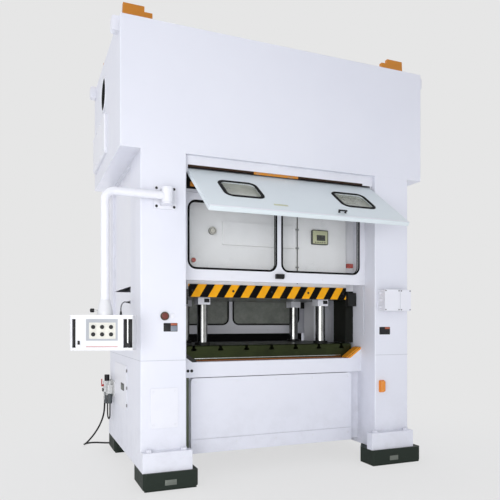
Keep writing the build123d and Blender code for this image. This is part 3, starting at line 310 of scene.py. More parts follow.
press_paint = painted(
    "press_paint", colour=(0.815, 0.825, 0.900), shade=(0.785, 0.797, 0.880), grime_shade=(0.42, 0.42, 0.44),
    bare=(0.46, 0.47, 0.50), roughness=0.42, grime_shade_amount=0.45, wear=0.35, bump=(0.06, 0.001),
    Coat_Weight=0.12, Coat_Roughness=0.25,
)
dress(press_paint, "foot_blocks")


def piece(label, points, faces, material, body, slot, sharp=35):
    """A closed mesh with its place in its points: doubles merged, faces turned outwards, edges kept
    sharp."""
    shape = bmesh.new()
    corners = [shape.verts.new(point) for point in points]
    for face in faces:
        shape.faces.new([corners[index] for index in face])
    bmesh.ops.remove_doubles(shape, verts=shape.verts, dist=0.00001)
    bmesh.ops.recalc_face_normals(shape, faces=shape.faces)
    mesh = bpy.data.meshes.new(label)
    shape.to_mesh(mesh)
    shape.free()
    mesh.materials.append(material)
    mesh.shade_smooth()
    mesh.set_sharp_from_angle(angle=math.radians(sharp))
    thing = bpy.data.objects.new(label, mesh)
    scene.collection.objects.link(thing)
    if body:
        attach(thing, body)
    return thing


def rounded_loop(width, height, radius, steps=6):
    """Points round a rectangle with round corners, about its centre."""
    loop = []
    for quarter, (sx, sy) in enumerate(((1, 1), (-1, 1), (-1, -1), (1, -1))):
        for index in range(steps + 1):
            angle = math.pi / 2 * (quarter + index / steps)
            x = sx * (width / 2 - radius) + radius * math.cos(angle)
            loop.append((x, sy * (height / 2 - radius) + radius * math.sin(angle)))
    return loop


def facing(centre, out, across):
    """A local frame on a face: x runs across, z points out of it, y completes them."""
    out = Vector(out).normalized()
    across = Vector(across).normalized()
    up = out.cross(across)
    turn = Matrix((across, up, out)).transposed().to_4x4()
    return Matrix.Translation(Vector(centre)) @ turn


def face_at(centre, end=-1):
    """A local frame on a face that looks to the front, or to the back where end is 1."""
    return facing(centre, (0, end, 0), (-end, 0, 0))


def ring_faces(rows, sides, wrapped=False):
    """Faces between rings of points. The first and last ring are closed over, or joined if wrapped."""
    faces = []
    for row in range(rows if wrapped else rows - 1):
        base = row * sides
        following = (row + 1) % rows * sides
        for index in range(sides):
            beside = (index + 1) % sides
            faces.append((base + index, base + beside, following + beside, following + index))
    if not wrapped:
        faces.append(tuple(range(sides))[::-1])
        faces.append(tuple(range((rows - 1) * sides, rows * sides)))
    return faces


def ring_points(place, radius, sides, level=0.0):
    """Points round a circle about the local z, at a height."""
    angles = [2 * math.pi * index / sides for index in range(sides)]
    return [place @ Vector((radius * math.cos(angle), radius * math.sin(angle), level)) for angle in angles]


def loop_solid(place, width, height, radius, profile, closed):
    """Points and faces of a profile of (outward offset, height) carried round a rounded rectangle.
    An open profile is closed over at both ends, as a plate is; a closed one is a ring, as a gasket is."""
    points = []
    for offset, level in profile:
        loop = rounded_loop(width + 2 * offset, height + 2 * offset, max(radius + offset, 0.0002))
        points += [place @ Vector((x, y, level)) for x, y in loop]
    return points, ring_faces(len(profile), len(points) // len(profile), closed)


def joined(*parts):
    """Several sets of points and faces as one."""
    points = []
    faces = []
    for more_points, more_faces in parts:
        faces += [tuple(index + len(points) for index in face) for face in more_faces]
        points += more_points
    return points, faces


def plate(place, width, height, radius, thickness, edge=0.0015):
    """A plate with round corners and a rolled front edge."""
    profile = ((0, 0), (0, thickness - edge), (-0.3 * edge, thickness - 0.3 * edge), (-edge, thickness))
    return loop_solid(place, width, height, radius, profile, False)


def turned(place, profile, sides=20):
    """A turned form: a profile of (radius, height) spun about the local z, closed at both ends."""
    points = []
    for radius, level in profile:
        points += ring_points(place, radius, sides, level)
    return points, ring_faces(len(profile), sides)


def worked_steel_group():
    """Machined steel: fine lines that follow the tool, a film of oil in patches."""
    amounts = ("Base Roughness", "Oil Amount")
    tree, given, end = new_group("Worked steel", Color=("Colour", "Oil"), Vector=("Lay",), Float=amounts)
    place = object_place(tree)
    drawn = step(tree, "ShaderNodeVectorMath", {0: place, 1: given["Lay"]}, operation="MULTIPLY").outputs[0]
    lines = mottle(tree, drawn, 1.0, 3.0, 0.6)
    stain = spread(tree, mottle(tree, place, 4.0, 6.0, 0.65), 0.42, 0.70)
    darker = {"Fac": 1.0, "Color1": given["Colour"], "Color2": (0.72, 0.72, 0.72, 1)}
    dark = step(tree, "ShaderNodeMixRGB", darker, blend_type="MULTIPLY")
    tone = blend_colours(tree, spread(tree, lines, 0.35, 0.65), given["Colour"], dark.outputs["Color"])
    tone = blend_colours(tree, product(tree, stain, given["Oil Amount"]), tone, given["Oil"])
    rough = maths(tree, "ADD", spread(tree, lines, 0.3, 0.7, -0.05, 0.12), given["Base Roughness"])
    give(tree, end, tone, rough, lines)
    return tree


worked_steel = worked_steel_group()


def machined(label, colour, oil, lay, roughness, oil_amount, bump, **shader):
    """A worked steel."""
    values = {"Colour": (*colour, 1), "Oil": (*oil, 1), "Lay": lay}
    values.update({"Base Roughness": roughness, "Oil Amount": oil_amount})
    return surface(label, worked_steel, values, bump, shader)


bare_plate = machined(
    "bare_plate", colour=(0.20, 0.22, 0.195), oil=(0.09, 0.10, 0.085), lay=(30.0, 30.0, 900.0),
    roughness=0.42, oil_amount=0.5, bump=(0.05, 0.0004), Metallic=0.6,
)
sides = ((-1, "left"), (1, "right"))
ends = ((-1, "front"), (1, "rear"))
pad_face = 0.955
pad_plate_depth = 0.0018
rivet_form = ((0.0028, 0), (0.0026, 0.0007), (0.0014, 0.0013), (0.0002, 0.0015))
for end, end_name in ends:
    for side_name, x in (("left", -1.116), ("right", 1.098)):
        place = face_at((x, end * pad_face, 0.066), end)
        tag = plate(place, 0.098, 0.044, 0.003, pad_plate_depth, 0.0006)
        rivets = []
        for along in (-0.037, 0.037):
            rivets.append(turned(place @ Matrix.Translation((along, 0, pad_plate_depth)), rivet_form, 10))
        label = f"pad_plate_{end_name}_{side_name}"
        piece(label, *joined(tag, *rivets), bare_plate, "frame", "bright_steel")


def weld_bead(label, start, end, out, radius):
    """A painted fillet weld: a ripple of overlapping half-moons along a corner between two plates."""
    ripple_pitch = 0.012
    corners = 8
    along = Vector(end) - Vector(start)
    ripples = max(8, int(along.length / ripple_pitch))
    place = facing(start, along, out)
    points = []
    for row in range(ripples + 1):
        swell = 0.86 if row % 2 else 1.0
        if row in (0, ripples):
            swell = 0.25
        points += ring_points(place, radius * swell, corners, along.length * row / ripples)
    faces = ring_faces(ripples + 1, corners)
    return piece(label, points, faces, press_paint, "frame", "press_paint", sharp=80)


leg_inner, leg_outer, leg_front = 0.954, 1.345, 0.847
foot_top = 0.312
for side, side_name in sides:
    for end, end_name in ends:
        corners = [(side * x, end * leg_front, foot_top) for x in (leg_inner + 0.01, leg_outer - 0.012)]
        weld_bead(f"foot_weld_{end_name}_{side_name}", *corners, (0, end, 0), 0.006)


# Bed: two hollow legs joined by a deep bridge, all welded plate. The bridge has a proud apron under the
# bolster, a removable pressed cover below it, recesses beside it painted dark as shade, and corner gussets.
guard_paint = painted(
    "guard_paint", colour=(0.845, 0.850, 0.910), shade=(0.815, 0.822, 0.890), grime_shade=(0.40, 0.40, 0.42),
    bare=(0.48, 0.49, 0.52), roughness=0.36, grime_shade_amount=0.40, wear=0.30, bump=(0.05, 0.0008),
    Coat_Weight=0.18, Coat_Roughness=0.2,
)
dress(press_paint, "bed", "bed_covers")
dress(guard_paint, "bed_doors")


def marked_paint(tree, tone, cloud, rough, bump, shine):
    """Ends the tree of a paint with marks: its roughness and relief follow the same clouds as its tone."""
    values = {"Base Color": tone, "Specular IOR Level": shine}
    values["Roughness"] = spread(tree, cloud, 0.3, 0.7, *rough)
    values["Normal"] = relief(tree, cloud, bump, 0.0006)
    principled(tree, values)


def gusset_paint():
    """White paint with a band along the slope: orange with a black line on the right, black as painted
    shade on the left.
    """
    slope_run, slope_rise = 0.138, 0.097
    slope_foot_x, slope_foot_z = 0.790, 1.033
    line_start, line_end, band_end = 0.014, 0.024, 0.058
    material, tree = bare_material("gusset_paint")
    place = object_place(tree)
    axes = axes_of(tree, place)
    across = maths(tree, "SUBTRACT", maths(tree, "ABSOLUTE", axes["X"]), slope_foot_x)
    rise = maths(tree, "SUBTRACT", axes["Z"], slope_foot_z)
    depth = maths(tree, "SUBTRACT", across, product(tree, rise, slope_run / slope_rise))
    cloud = mottle(tree, place, 20.0, 6.0, 0.65)
    white = blend_colours(tree, cloud, (0.82, 0.83, 0.90, 1), (0.72, 0.72, 0.76, 1))
    orange = blend_colours(tree, cloud, (0.90, 0.37, 0.02, 1), (0.74, 0.26, 0.02, 1))
    black = blend_colours(tree, cloud, (0.010, 0.010, 0.010, 1), (0.025, 0.025, 0.022, 1))
    past_line = maths(tree, "GREATER_THAN", depth, line_start)
    before_line = maths(tree, "LESS_THAN", depth, line_end)
    lined = blend_colours(tree, product(tree, past_line, before_line), orange, black)
    # Painted shade: the left gusset's band is all black.
    tone = blend_colours(tree, maths(tree, "GREATER_THAN", axes["X"], 0.0), black, lined)
    tone = blend_colours(tree, maths(tree, "GREATER_THAN", depth, band_end), tone, white)
    marked_paint(tree, tone, cloud, (0.34, 0.5), 0.06, 0.3)
    return material


dress(gusset_paint(), "corner_gussets")


def fastener_tree():
    """Heads of screws or bolts on each point of a mesh: a thin washer under a tapered hexagonal head."""
    tree = bpy.data.node_groups.new("Fastener heads", "GeometryNodeTree")
    for label, kind in (
        ("Places", "NodeSocketGeometry"),
        ("Head Radius", "NodeSocketFloat"),
        ("Head Height", "NodeSocketFloat"),
        ("Facing", "NodeSocketVector"),
        ("Finish", "NodeSocketMaterial"),
    ):
        tree.interface.new_socket(label, in_out="INPUT", socket_type=kind)
    tree.interface.new_socket("Heads", in_out="OUTPUT", socket_type="NodeSocketGeometry")
    given = tree.nodes.new("NodeGroupInput").outputs
    end = tree.nodes.new("NodeGroupOutput")
    whole = tree.nodes.new("GeometryNodeJoinGeometry")
    for bottom, top, depth, corners in ((1.45, 1.40, 0.22, 18), (1.0, 0.98, 0.82, 6), (0.98, 0.80, 1.0, 6)):
        sizes = {"Vertices": corners, "Side Segments": 1, "Fill Segments": 1}
        sizes["Radius Top"] = product(tree, given["Head Radius"], top)
        sizes["Radius Bottom"] = product(tree, given["Head Radius"], bottom)
        sizes["Depth"] = product(tree, given["Head Height"], depth)
        tree.links.new(step(tree, "GeometryNodeMeshCone", sizes).outputs["Mesh"], whole.inputs[0])
    turn = step(tree, "FunctionNodeAlignRotationToVector", {"Vector": given["Facing"]}, axis="Z")
    instances = {"Points": given["Places"], "Instance": whole.outputs[0], "Rotation": turn.outputs[0]}
    placed = step(tree, "GeometryNodeInstanceOnPoints", instances)
    real = step(tree, "GeometryNodeRealizeInstances", {"Geometry": placed.outputs[0]})
    clad = step(tree, "GeometryNodeSetMaterial", {"Geometry": real.outputs[0], "Material": given["Finish"]})
    tree.links.new(clad.outputs[0], end.inputs[0])
    return tree


fastener_heads = fastener_tree()


def fasteners(label, places, out, radius, height, material, body):
    """One mesh of like fastener heads, all facing one way, on one body."""
    mesh = bpy.data.meshes.new(label)
    mesh.from_pydata([tuple(spot) for spot in places], [], [])
    thing = bpy.data.objects.new(label, mesh)
    scene.collection.objects.link(thing)
    maker = thing.modifiers.new("heads", "NODES")
    maker.node_group = fastener_heads
    values = {"Head Radius": radius, "Head Height": height, "Facing": out, "Finish": material}
    for socket in fastener_heads.interface.items_tree:
        if socket.in_out == "INPUT" and socket.name in values:
            maker[socket.identifier] = values[socket.name]
    made = thing.evaluated_get(bpy.context.evaluated_depsgraph_get())
    result = bpy.data.meshes.new_from_object(made)
    thing.modifiers.remove(maker)
    thing.data = result
    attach(thing, body)
    return thing


def side_at(centre, side):
    """A local frame on a face that looks to the left or right."""
    return facing(centre, (side, 0, 0), (0, side, 0))


screw_steel = machined(
    "screw_steel", colour=(0.30, 0.30, 0.31), oil=(0.06, 0.055, 0.05), lay=(300.0, 300.0, 300.0),
    roughness=0.38, oil_amount=0.5, bump=(0.08, 0.0004), Metallic=0.85,
)
recess_shade_paint = painted(
    "recess_shade_paint", colour=(0.165, 0.200, 0.125), shade=(0.120, 0.150, 0.090), grime_shade=(0.020, 0.024, 0.015),
    bare=(0.10, 0.10, 0.10), roughness=0.55, grime_shade_amount=0.5, wear=0.3,
)
black_plate = moulded(
    "black_plate", colour=(0.018, 0.018, 0.020), dust=(0.2, 0.2, 0.2), grain=500.0, roughness=0.32,
    dust_amount=0.12, bump=(0.05, 0.0004), Specular_IOR_Level=0.2,
)
bridge_face, apron_face, access_face, side_door_face = 0.540, 0.600, 0.852, 1.351
# The recess strips are dark olive: painted shade.
for end, end_name in ends:
    recess = plate(face_at((-0.898, end * bridge_face, 0.538), end), 0.106, 0.680, 0.002, 0.003)
    piece(f"bridge_recess_shade_{end_name}", *recess, recess_shade_paint, "frame", "dark_steel")
for label, end in (("bed_cover_screws", -1), ("bed_cover_rear_screws", 1)):
    screws = [(x, end * apron_face, z) for x in (-0.80, -0.40, 0.0, 0.40, 0.80) for z in (0.275, 0.838)]
    fasteners(label, screws, (0, end, 0), 0.0062, 0.0045, guard_paint, "frame")
seam_paint = painted(
    "seam_paint", colour=(0.56, 0.575, 0.64), shade=(0.48, 0.50, 0.56), grime_shade=(0.30, 0.30, 0.32),
    bare=(0.40, 0.40, 0.42), roughness=0.45, grime_shade_amount=0.3, wear=0.2, bump=(0.05, 0.0006),
)
frame_seam = 1.060
seam_form = (0.004, 0.0005, 0.0006, 0.0002)
seams = []
for side in (-1, 1):
    for end in (-1, 1):
        middle = side * (leg_inner + leg_outer) / 2
        seams.append(plate(face_at((middle, end * leg_front, frame_seam), end), 0.386, *seam_form))
    seams.append(plate(side_at((side * leg_outer, 0, frame_seam), side), 1.690, *seam_form))
piece("frame_joint_seams", *joined(*seams), seam_paint, "frame", "press_paint")
apron_bolts = [(x, -apron_face, 0.943) for x in (-0.870, -0.835)]
fasteners("apron_bolts", apron_bolts, (0, -1, 0), 0.0095, 0.011, black_plate, "frame")
screws = [(x, -access_face, z) for x in (-1.237, -1.054) for z in (0.523, 0.800)]
fasteners("access_cover_screws", screws, (0, -1, 0), 0.007, 0.005, guard_paint, "frame")
knuckle_form = ((0.004, 0), (0.006, 0.002), (0.006, 0.026), (0.004, 0.028))
for side, side_name in sides:
    knuckles = []
    for z in (0.608, 0.770, 0.930):
        place = Matrix.Translation((side * (side_door_face - 0.001), -0.224, z - 0.014))
        knuckles.append(turned(place, knuckle_form, 14))
    piece(f"side_door_hinges_{side_name}", *joined(*knuckles), screw_steel, "frame", "bright_steel")
    dark = plate(side_at((side * side_door_face, 0.0, 0.762), side), 0.172, 0.068, 0.004, 0.0015, 0.0005)
    piece(f"side_door_plate_{side_name}", *dark, black_plate, "frame", "black_plastic")
    tag = side_at((side * (side_door_face + 0.0015), 0.0, 0.758), side)
    tag = plate(tag, 0.112, 0.038, 0.002, 0.0008, 0.0003)
    piece(f"side_door_tag_{side_name}", *tag, bare_plate, "frame", "bright_steel")


# Bolster: a ground steel plate that carries the lower die, dark with oil, with tee slots cut across it.
# Four ground guide posts stand on it and line up the slide.
table_steel = machined(
    "table_steel", colour=(0.030, 0.040, 0.011), oil=(0.010, 0.013, 0.003), lay=(9.0, 160.0, 160.0),
    roughness=0.36, oil_amount=0.75, bump=(0.12, 0.0006), Metallic=0.75,
)
dress(table_steel, "bolster")
bright_steel = machined(
    "bright_steel", colour=(0.55, 0.555, 0.56), oil=(0.20, 0.18, 0.14), lay=(40.0, 40.0, 700.0),
    roughness=0.20, oil_amount=0.35, bump=(0.04, 0.0003), Metallic=1.0,
)
post_steel = machined(
    "post_steel", colour=(0.36, 0.365, 0.36), oil=(0.06, 0.06, 0.045), lay=(60.0, 60.0, 3.0),
    roughness=0.12, oil_amount=0.6, bump=(0.03, 0.0003), Metallic=1.0,
)
dress(post_steel, "guide_posts")
black_oxide = machined(
    "black_oxide", colour=(0.022, 0.023, 0.022), oil=(0.008, 0.008, 0.007), lay=(60.0, 60.0, 420.0),
    roughness=0.45, oil_amount=0.5, bump=(0.06, 0.0005), Metallic=0.3, Specular_IOR_Level=0.3,
)
post_x, post_y, bush_face = 0.645, 0.310, 0.370
collar_form = ((0.0505, 0), (0.074, 0), (0.074, 0.020), (0.070, 0.024), (0.0505, 0.024))
collars = []
tabs = []
for x in (-post_x, post_x):
    for end in (-1, 1):
        collars.append(turned(Matrix.Translation((x, end * post_y, 1.165)), collar_form, 36))
        place = face_at((x + 0.026, end * bush_face, 1.588), end)
        tabs.append(plate(place, 0.052, 0.036, 0.003, 0.003, 0.0008))
piece("post_collars", *joined(*collars), black_oxide, "frame", "dark_steel")
piece("bush_tabs", *joined(*tabs), black_plate, "slide", "black_plastic")
# A dark reddish-brown strip runs along the bolster's foot, where it meets the apron.
brown_foot_paint = painted(
    "brown_foot_paint", colour=(0.32, 0.10, 0.025), shade=(0.16, 0.055, 0.018), grime_shade=(0.04, 0.02, 0.01),
    bare=(0.45, 0.16, 0.03), roughness=0.5, grime_shade_amount=0.5, wear=0.6, Specular_IOR_Level=0.2,
)
bolster_face = 0.500
for end, end_name in ends:
    strip = plate(face_at((0, end * bolster_face, 1.027), end), 1.56, 0.013, 0.001, 0.003, 0.001)
    piece(f"bolster_foot_strip_{end_name}", *strip, brown_foot_paint, "frame", "orange_paint")
    strip = plate(face_at((0, end * bolster_face, 1.046), end), 1.56, 0.007, 0.001, 0.002, 0.001)
    piece(f"bolster_edge_strip_{end_name}", *strip, bright_steel, "frame", "bright_steel")


def gib_finish():
    """Guide rails: white on the rear ones and high on the front ones, black low on the front ones."""
    material, tree = bare_material("gib_finish")
    place = object_place(tree)
    axes = axes_of(tree, place)
    upper = spread(tree, axes["Z"], 1.700, 1.704)
    rear = maths(tree, "GREATER_THAN", axes["Y"], 0.0)
    cloud = mottle(tree, place, 11.0, 6.0, 0.65)
    black = blend_colours(tree, cloud, (0.005, 0.006, 0.005, 1), (0.014, 0.015, 0.012, 1))
    white = blend_colours(tree, cloud, (0.80, 0.81, 0.86, 1), (0.70, 0.70, 0.73, 1))
    tone = blend_colours(tree, maths(tree, "MAXIMUM", upper, rear), black, white)
    marked_paint(tree, tone, cloud, (0.36, 0.55), 0.06, 0.12)
    return material


dress(gib_finish(), "gibs")


# Uprights: welded box columns, held between bed and crown by four steel tie rods. The window in each side
# is closed by a guard above and a cover below, screwed to a frame, and a little of the dark inside shows
# between the two.
dress(press_paint, "upright_left", "upright_right")
dress(guard_paint, "side_guards")
dress(bright_steel, "tie_rods")
guard_face = 1.321
for side, side_name in sides:
    screws = [(side * guard_face, y, z) for y in (-0.372, 0.612) for z in (1.760, 2.080, 2.400, 2.740)]
    screws += [(side * guard_face, y, z) for y in (-0.372, 0.120, 0.612) for z in (1.165, 1.400)]
    label = f"side_guard_screws_{side_name}"
    fasteners(label, screws, (side, 0, 0), 0.007, 0.005, guard_paint, "frame")
plate_skin = {"grain": 500.0, "roughness": 0.34, "dust_amount": 0.12, "bump": (0.05, 0.0004)}
pale_plate = moulded("pale_plate", colour=(0.60, 0.58, 0.52), dust=(0.4, 0.4, 0.38), **plate_skin)
slate_plate = moulded("slate_plate", colour=(0.22, 0.25, 0.30), dust=(0.4, 0.4, 0.4), **plate_skin)
brick_plate = moulded("brick_plate", colour=(0.42, 0.10, 0.045), dust=(0.4, 0.3, 0.25), **plate_skin)
plate_depth = 0.002
thin_form = (0.002, 0.0008, 0.0003)
for label, x, z, width, height, back in (
    ("left", -1.092, 1.338, 0.120, 0.072, slate_plate),
    ("right", 1.068, 1.298, 0.125, 0.075, black_plate),
):
    place = face_at((x, -leg_front, z))
    backing = plate(place, width, height, 0.004, plate_depth)
    piece(f"{label}_plate", *backing, black_plate, "frame", "black_plastic")
    field = place @ Matrix.Translation((width * 0.24, -height * 0.13, plate_depth))
    field = plate(field, width * 0.46, height * 0.62, *thin_form)
    piece(f"{label}_plate_field", *field, back, "frame", "grey_plastic")
    band = place @ Matrix.Translation((width * 0.24, height * 0.35, plate_depth))
    band = plate(band, width * 0.46, height * 0.24, *thin_form)
    piece(f"{label}_plate_band", *band, brick_plate, "frame", "red_plastic")


# Crown: a deep hollow box of welded plate that carries the cylinders, white outside and inside dark primer
# painted near-black as shade.
# Side covers, lifting brackets and side lugs are bolted to it, and a round vent in its left side has a
# rolled rim.
def repainted(base, label):
    """A copy of a paint, with its tree, its shader's colour input and what feeds that."""
    material = base.copy()
    material.name = label
    shader = next(node for node in material.node_tree.nodes if node.type == "BSDF_PRINCIPLED")
    colour = shader.inputs["Base Color"]
    return material, material.node_tree, colour, colour.links[0].from_socket


def crown_paint():
    """The press's paint outside, and on every face inside the box a near-black painted shade."""
    inside = (1.4715, 0.8085, 3.8615)
    floor_top = 2.830
    material, tree, colour, outside = repainted(press_paint, "crown_paint")
    place = object_place(tree)
    axes = axes_of(tree, place)
    mask = maths(tree, "GREATER_THAN", axes["Z"], floor_top)
    for axis, limit in zip("XYZ", inside):
        within = maths(tree, "LESS_THAN", maths(tree, "ABSOLUTE", axes[axis]), limit)
        mask = product(tree, mask, within)
    cloud = mottle(tree, place, 6.0)
    # Painted shade: every face inside the box is near-black.
    inside_shade = blend_colours(tree, cloud, (0.030, 0.032, 0.028, 1), (0.014, 0.015, 0.013, 1))
    tree.links.new(blend_colours(tree, mask, outside, inside_shade), colour)
    return material


def hollow(place, profile, sides):
    """A turned ring: its profile ends where it starts, so nothing is closed over."""
    points, faces = turned(place, profile, sides)
    return points, faces[:-2]


dress(crown_paint(), "crown")
dress(guard_paint, "crown_fittings", "headers")
orange_paint = painted(
    "orange_paint", colour=(0.67, 0.255, 0.018), shade=(0.50, 0.175, 0.010), grime_shade=(0.14, 0.07, 0.03),
    bare=(0.30, 0.27, 0.24), roughness=0.34, grime_shade_amount=0.45, wear=0.8, bump=(0.06, 0.001),
)
dress(orange_paint, "lifting_brackets")
vent_place = facing((-1.510, 0.110, 3.590), (-1, 0, 0), (0, 1, 0))
rim_form = (
    (0.150, -0.004),
    (0.150, 0.004),
    (0.156, 0.011),
    (0.166, 0.012),
    (0.172, 0.006),
    (0.172, 0.0),
    (0.150, -0.004),
)
liner_form = ((0.1495, -0.036), (0.1495, 0.002), (0.1430, 0.002), (0.1430, -0.036), (0.1495, -0.036))
piece("vent_rim", *hollow(vent_place, rim_form, 48), guard_paint, "frame", "guard_paint", sharp=50)
# The vent liner is a dark ring in the vent's wall: painted shade inside the vent.
piece("vent_shade_liner", *hollow(vent_place, liner_form, 48), black_oxide, "frame", "dark_steel", sharp=50)
crown_cover_face = 1.536
for side, side_name in sides:
    face = side * crown_cover_face
    screws = [(face, y, z) for y in (-0.060, 0.188, 0.464, 0.712) for z in (3.006, 3.314)]
    label = f"crown_cover_screws_{side_name}"
    fasteners(label, screws, (side, 0, 0), 0.009, 0.007, guard_paint, "frame")


# Slide: the painted ram block between the gibs. Its lower edge carries a striped warning bar, and its front
# a display, a pressure gauge and a lamp, all screwed on.
def stripe_paint():
    """Black and amber stripes that lean across the bar, with worn paint."""
    pitch, offset, lean, black_share = 0.163, 0.088, 0.61, 0.49
    material, tree = bare_material("stripe_paint")
    place = object_place(tree)
    axes = axes_of(tree, place)
    along = maths(tree, "ADD", axes["X"], offset)
    along = maths(tree, "ADD", along, product(tree, axes["Z"], -lean))
    phase = maths(tree, "FRACT", product(tree, along, 1 / pitch))
    cloud = mottle(tree, place, 14.0, 7.0, 0.7)
    patches = spread(tree, cloud, 0.35, 0.7)
    amber = blend_colours(tree, patches, (0.95, 0.45, 0.016, 1), (0.88, 0.38, 0.015, 1))
    black = blend_colours(tree, patches, (0.003, 0.003, 0.003, 1), (0.007, 0.007, 0.007, 1))
    tone = blend_colours(tree, maths(tree, "LESS_THAN", phase, black_share), amber, black)
    scuffs = spread(tree, mottle(tree, place, 60.0, 5.0, 0.7), 0.66, 0.72, 0.0, 0.6)
    tone = blend_colours(tree, scuffs, tone, (0.35, 0.33, 0.31, 1))
    marked_paint(tree, tone, cloud, (0.30, 0.48), 0.08, 0.05)
    return material


dress(stripe_paint(), "striped_bar")
slide_paint = painted(
    "slide_paint", colour=(0.895, 0.900, 0.915), shade=(0.860, 0.866, 0.885), grime_shade=(0.55, 0.55, 0.55),
    bare=(0.48, 0.49, 0.52), roughness=0.30, grime_shade_amount=0.25, wear=0.30, bump=(0.05, 0.0008),
    Coat_Weight=0.25, Coat_Roughness=0.15,
)


def slide_finish():
    """The slide's paint, with near-black painted shade on the bare oiled steel face below that carries the
    upper die.
    """
    material, tree, colour, paint = repainted(slide_paint, "slide_finish")
    normal = step(tree, "ShaderNodeNewGeometry").outputs["Normal"]
    downward_shade = spread(tree, axes_of(tree, normal)["Z"], -0.5, -0.6)
    # Painted shade: faces that look down are near-black.
    tree.links.new(blend_colours(tree, downward_shade, paint, (0.020, 0.026, 0.013, 1)), colour)
    return material


dress(slide_finish(), "slide")
dress(guard_paint, "post_bushes")
dress(black_oxide, "slide_guides")
dress(bright_steel, "piston_rams")
black_plastic = moulded(
    "black_plastic", colour=(0.010, 0.010, 0.011), dust=(0.10, 0.10, 0.10), grain=420.0, roughness=0.42,
    dust_amount=0.15, bump=(0.12, 0.0008), Specular_IOR_Level=0.25,
)
dress(black_plastic, "slide_instruments")
olive_plastic = moulded(
    "olive_plastic", colour=(0.52, 0.54, 0.33), dust=(0.55, 0.55, 0.42), grain=500.0, roughness=0.36,
    dust_amount=0.15, bump=(0.06, 0.0005),
)
slide_face, panel_face, bar_face, display_face, gauge_face = -0.490, -0.504, -0.505, -0.514, -0.516
display = face_at((0.530, display_face, 2.235))
fascia_depth = 0.002
fascia = plate(display, 0.166, 0.128, 0.006, fascia_depth, 0.0008)
piece("display_fascia", *fascia, olive_plastic, "slide", "grey_plastic")
window = display @ Matrix.Translation((0.008, -0.006, fascia_depth))
window = plate(window, 0.098, 0.058, 0.003, 0.0008, 0.0003)
piece("display_window", *window, black_plate, "slide", "black_plastic")
key_pitch = 0.026
keys = []
for index in range(5):
    key = display @ Matrix.Translation((-0.052 + key_pitch * index, -0.051, fascia_depth))
    keys.append(plate(key, 0.014, 0.010, 0.002, 0.002, 0.0006))
piece("display_keys", *joined(*keys), black_plate, "slide", "black_plastic")
gauge = face_at((-0.607, gauge_face, 2.232))
dial = turned(gauge, ((0.034, 0), (0.034, 0.0008), (0.0335, 0.001), (0.0002, 0.001)), 32)
piece("gauge_dial", *dial, pale_plate, "slide", "grey_plastic")
ring_form = ((0.022, 0.001), (0.027, 0.001), (0.027, 0.002), (0.022, 0.002), (0.022, 0.001))
piece("gauge_ring", *hollow(gauge, ring_form, 32), black_plate, "slide", "black_plastic")
needle_turn = math.radians(35)
pointer = gauge @ Matrix.Rotation(needle_turn, 4, "Z") @ Matrix.Translation((0.008, 0, 0.001))
needle = plate(pointer, 0.026, 0.002, 0.0008, 0.001, 0.0003)
piece("gauge_needle", *needle, black_plate, "slide", "black_plastic")
panel_screws = [(x, panel_face, z) for x in (-0.480, -0.126, 0.228) for z in (2.136, 2.304)]
fasteners("slide_panel_screws", panel_screws, (0, -1, 0), 0.005, 0.004, slide_paint, "slide")
red_plastic = moulded(
    "red_plastic", colour=(0.46, 0.022, 0.012), dust=(0.35, 0.15, 0.13), grain=300.0, roughness=0.28,
    dust_amount=0.2, bump=(0.06, 0.0005), Coat_Weight=0.3,
)
lamp_place = face_at((-0.791, slide_face, 1.952))
lens_form = ((0.021, 0.010), (0.021, 0.026), (0.017, 0.033), (0.008, 0.036), (0.0002, 0.0365))
lens = turned(lamp_place, lens_form, 24)
piece("slide_lamp_lens", *lens, red_plastic, "slide", "red_plastic")
base = turned(lamp_place, ((0.026, 0), (0.026, 0.008), (0.023, 0.011), (0.0002, 0.011)), 24)
piece("slide_lamp_base", *base, pale_plate, "slide", "grey_plastic")
block = plate(face_at((0.905, -0.455, 1.966)), 0.074, 0.046, 0.006, 0.022, 0.004)
piece("stop_block", *block, red_plastic, "frame", "red_plastic")
bar_screws = [(x, bar_face, 1.674) for x in (-0.80, -0.40, 0.0, 0.40, 0.80)]
fasteners("striped_bar_screws", bar_screws, (0, -1, 0), 0.008, 0.006, black_oxide, "slide")


# Grease pipe: a thin black pipe that feeds the slide's guides. It runs straight down the slide's face
# and is held there by five pressed steel clips.
def pipe_along(route, radius, sides=10):
    """A round pipe along points, square to its path at each one, closed at both ends."""
    route = [Vector(spot) for spot in route]
    points = []
    for index, spot in enumerate(route):
        before = route[max(index - 1, 0)]
        after = route[min(index + 1, len(route) - 1)]
        along = (after - before).normalized()
        place = facing(spot, along, across - along * across.dot(along) if index else along.orthogonal())
        across = place.to_3x3().col[0].copy()
        points += ring_points(place, radius, sides)
    return points, ring_faces(len(route), sides)


pipe_x, pipe_y, pipe_radius = 0.281, -0.496, 0.0048
pipe_route = [(pipe_x, pipe_y, 2.545), (pipe_x, pipe_y, 1.760)]
clips = []
for z in (2.48, 2.30, 2.115, 1.925, 1.800):
    clips.append(plate(face_at((pipe_x, slide_face, z)), 0.034, 0.016, 0.003, 0.011, 0.003))
piece("grease_pipe", *pipe_along(pipe_route, pipe_radius), black_plastic, "slide", "black_plastic")
piece("grease_pipe_clips", *joined(*clips), screw_steel, "slide", "bright_steel")


# Hydraulics: the cylinders, oil tank, motor and pump inside the crown. They are bolted to its floor
# and sprayed grey.
hydraulic_paint = painted(
    "hydraulic_paint", colour=(0.27, 0.30, 0.32), shade=(0.22, 0.25, 0.27), grime_shade=(0.05, 0.045, 0.04),
    bare=(0.4, 0.4, 0.4), roughness=0.38, grime_shade_amount=0.6, wear=0.5,
)
dress(hydraulic_paint, "cylinder_barrels", "oil_tank", "pump_set")
dress(bright_steel, "drive_shaft")


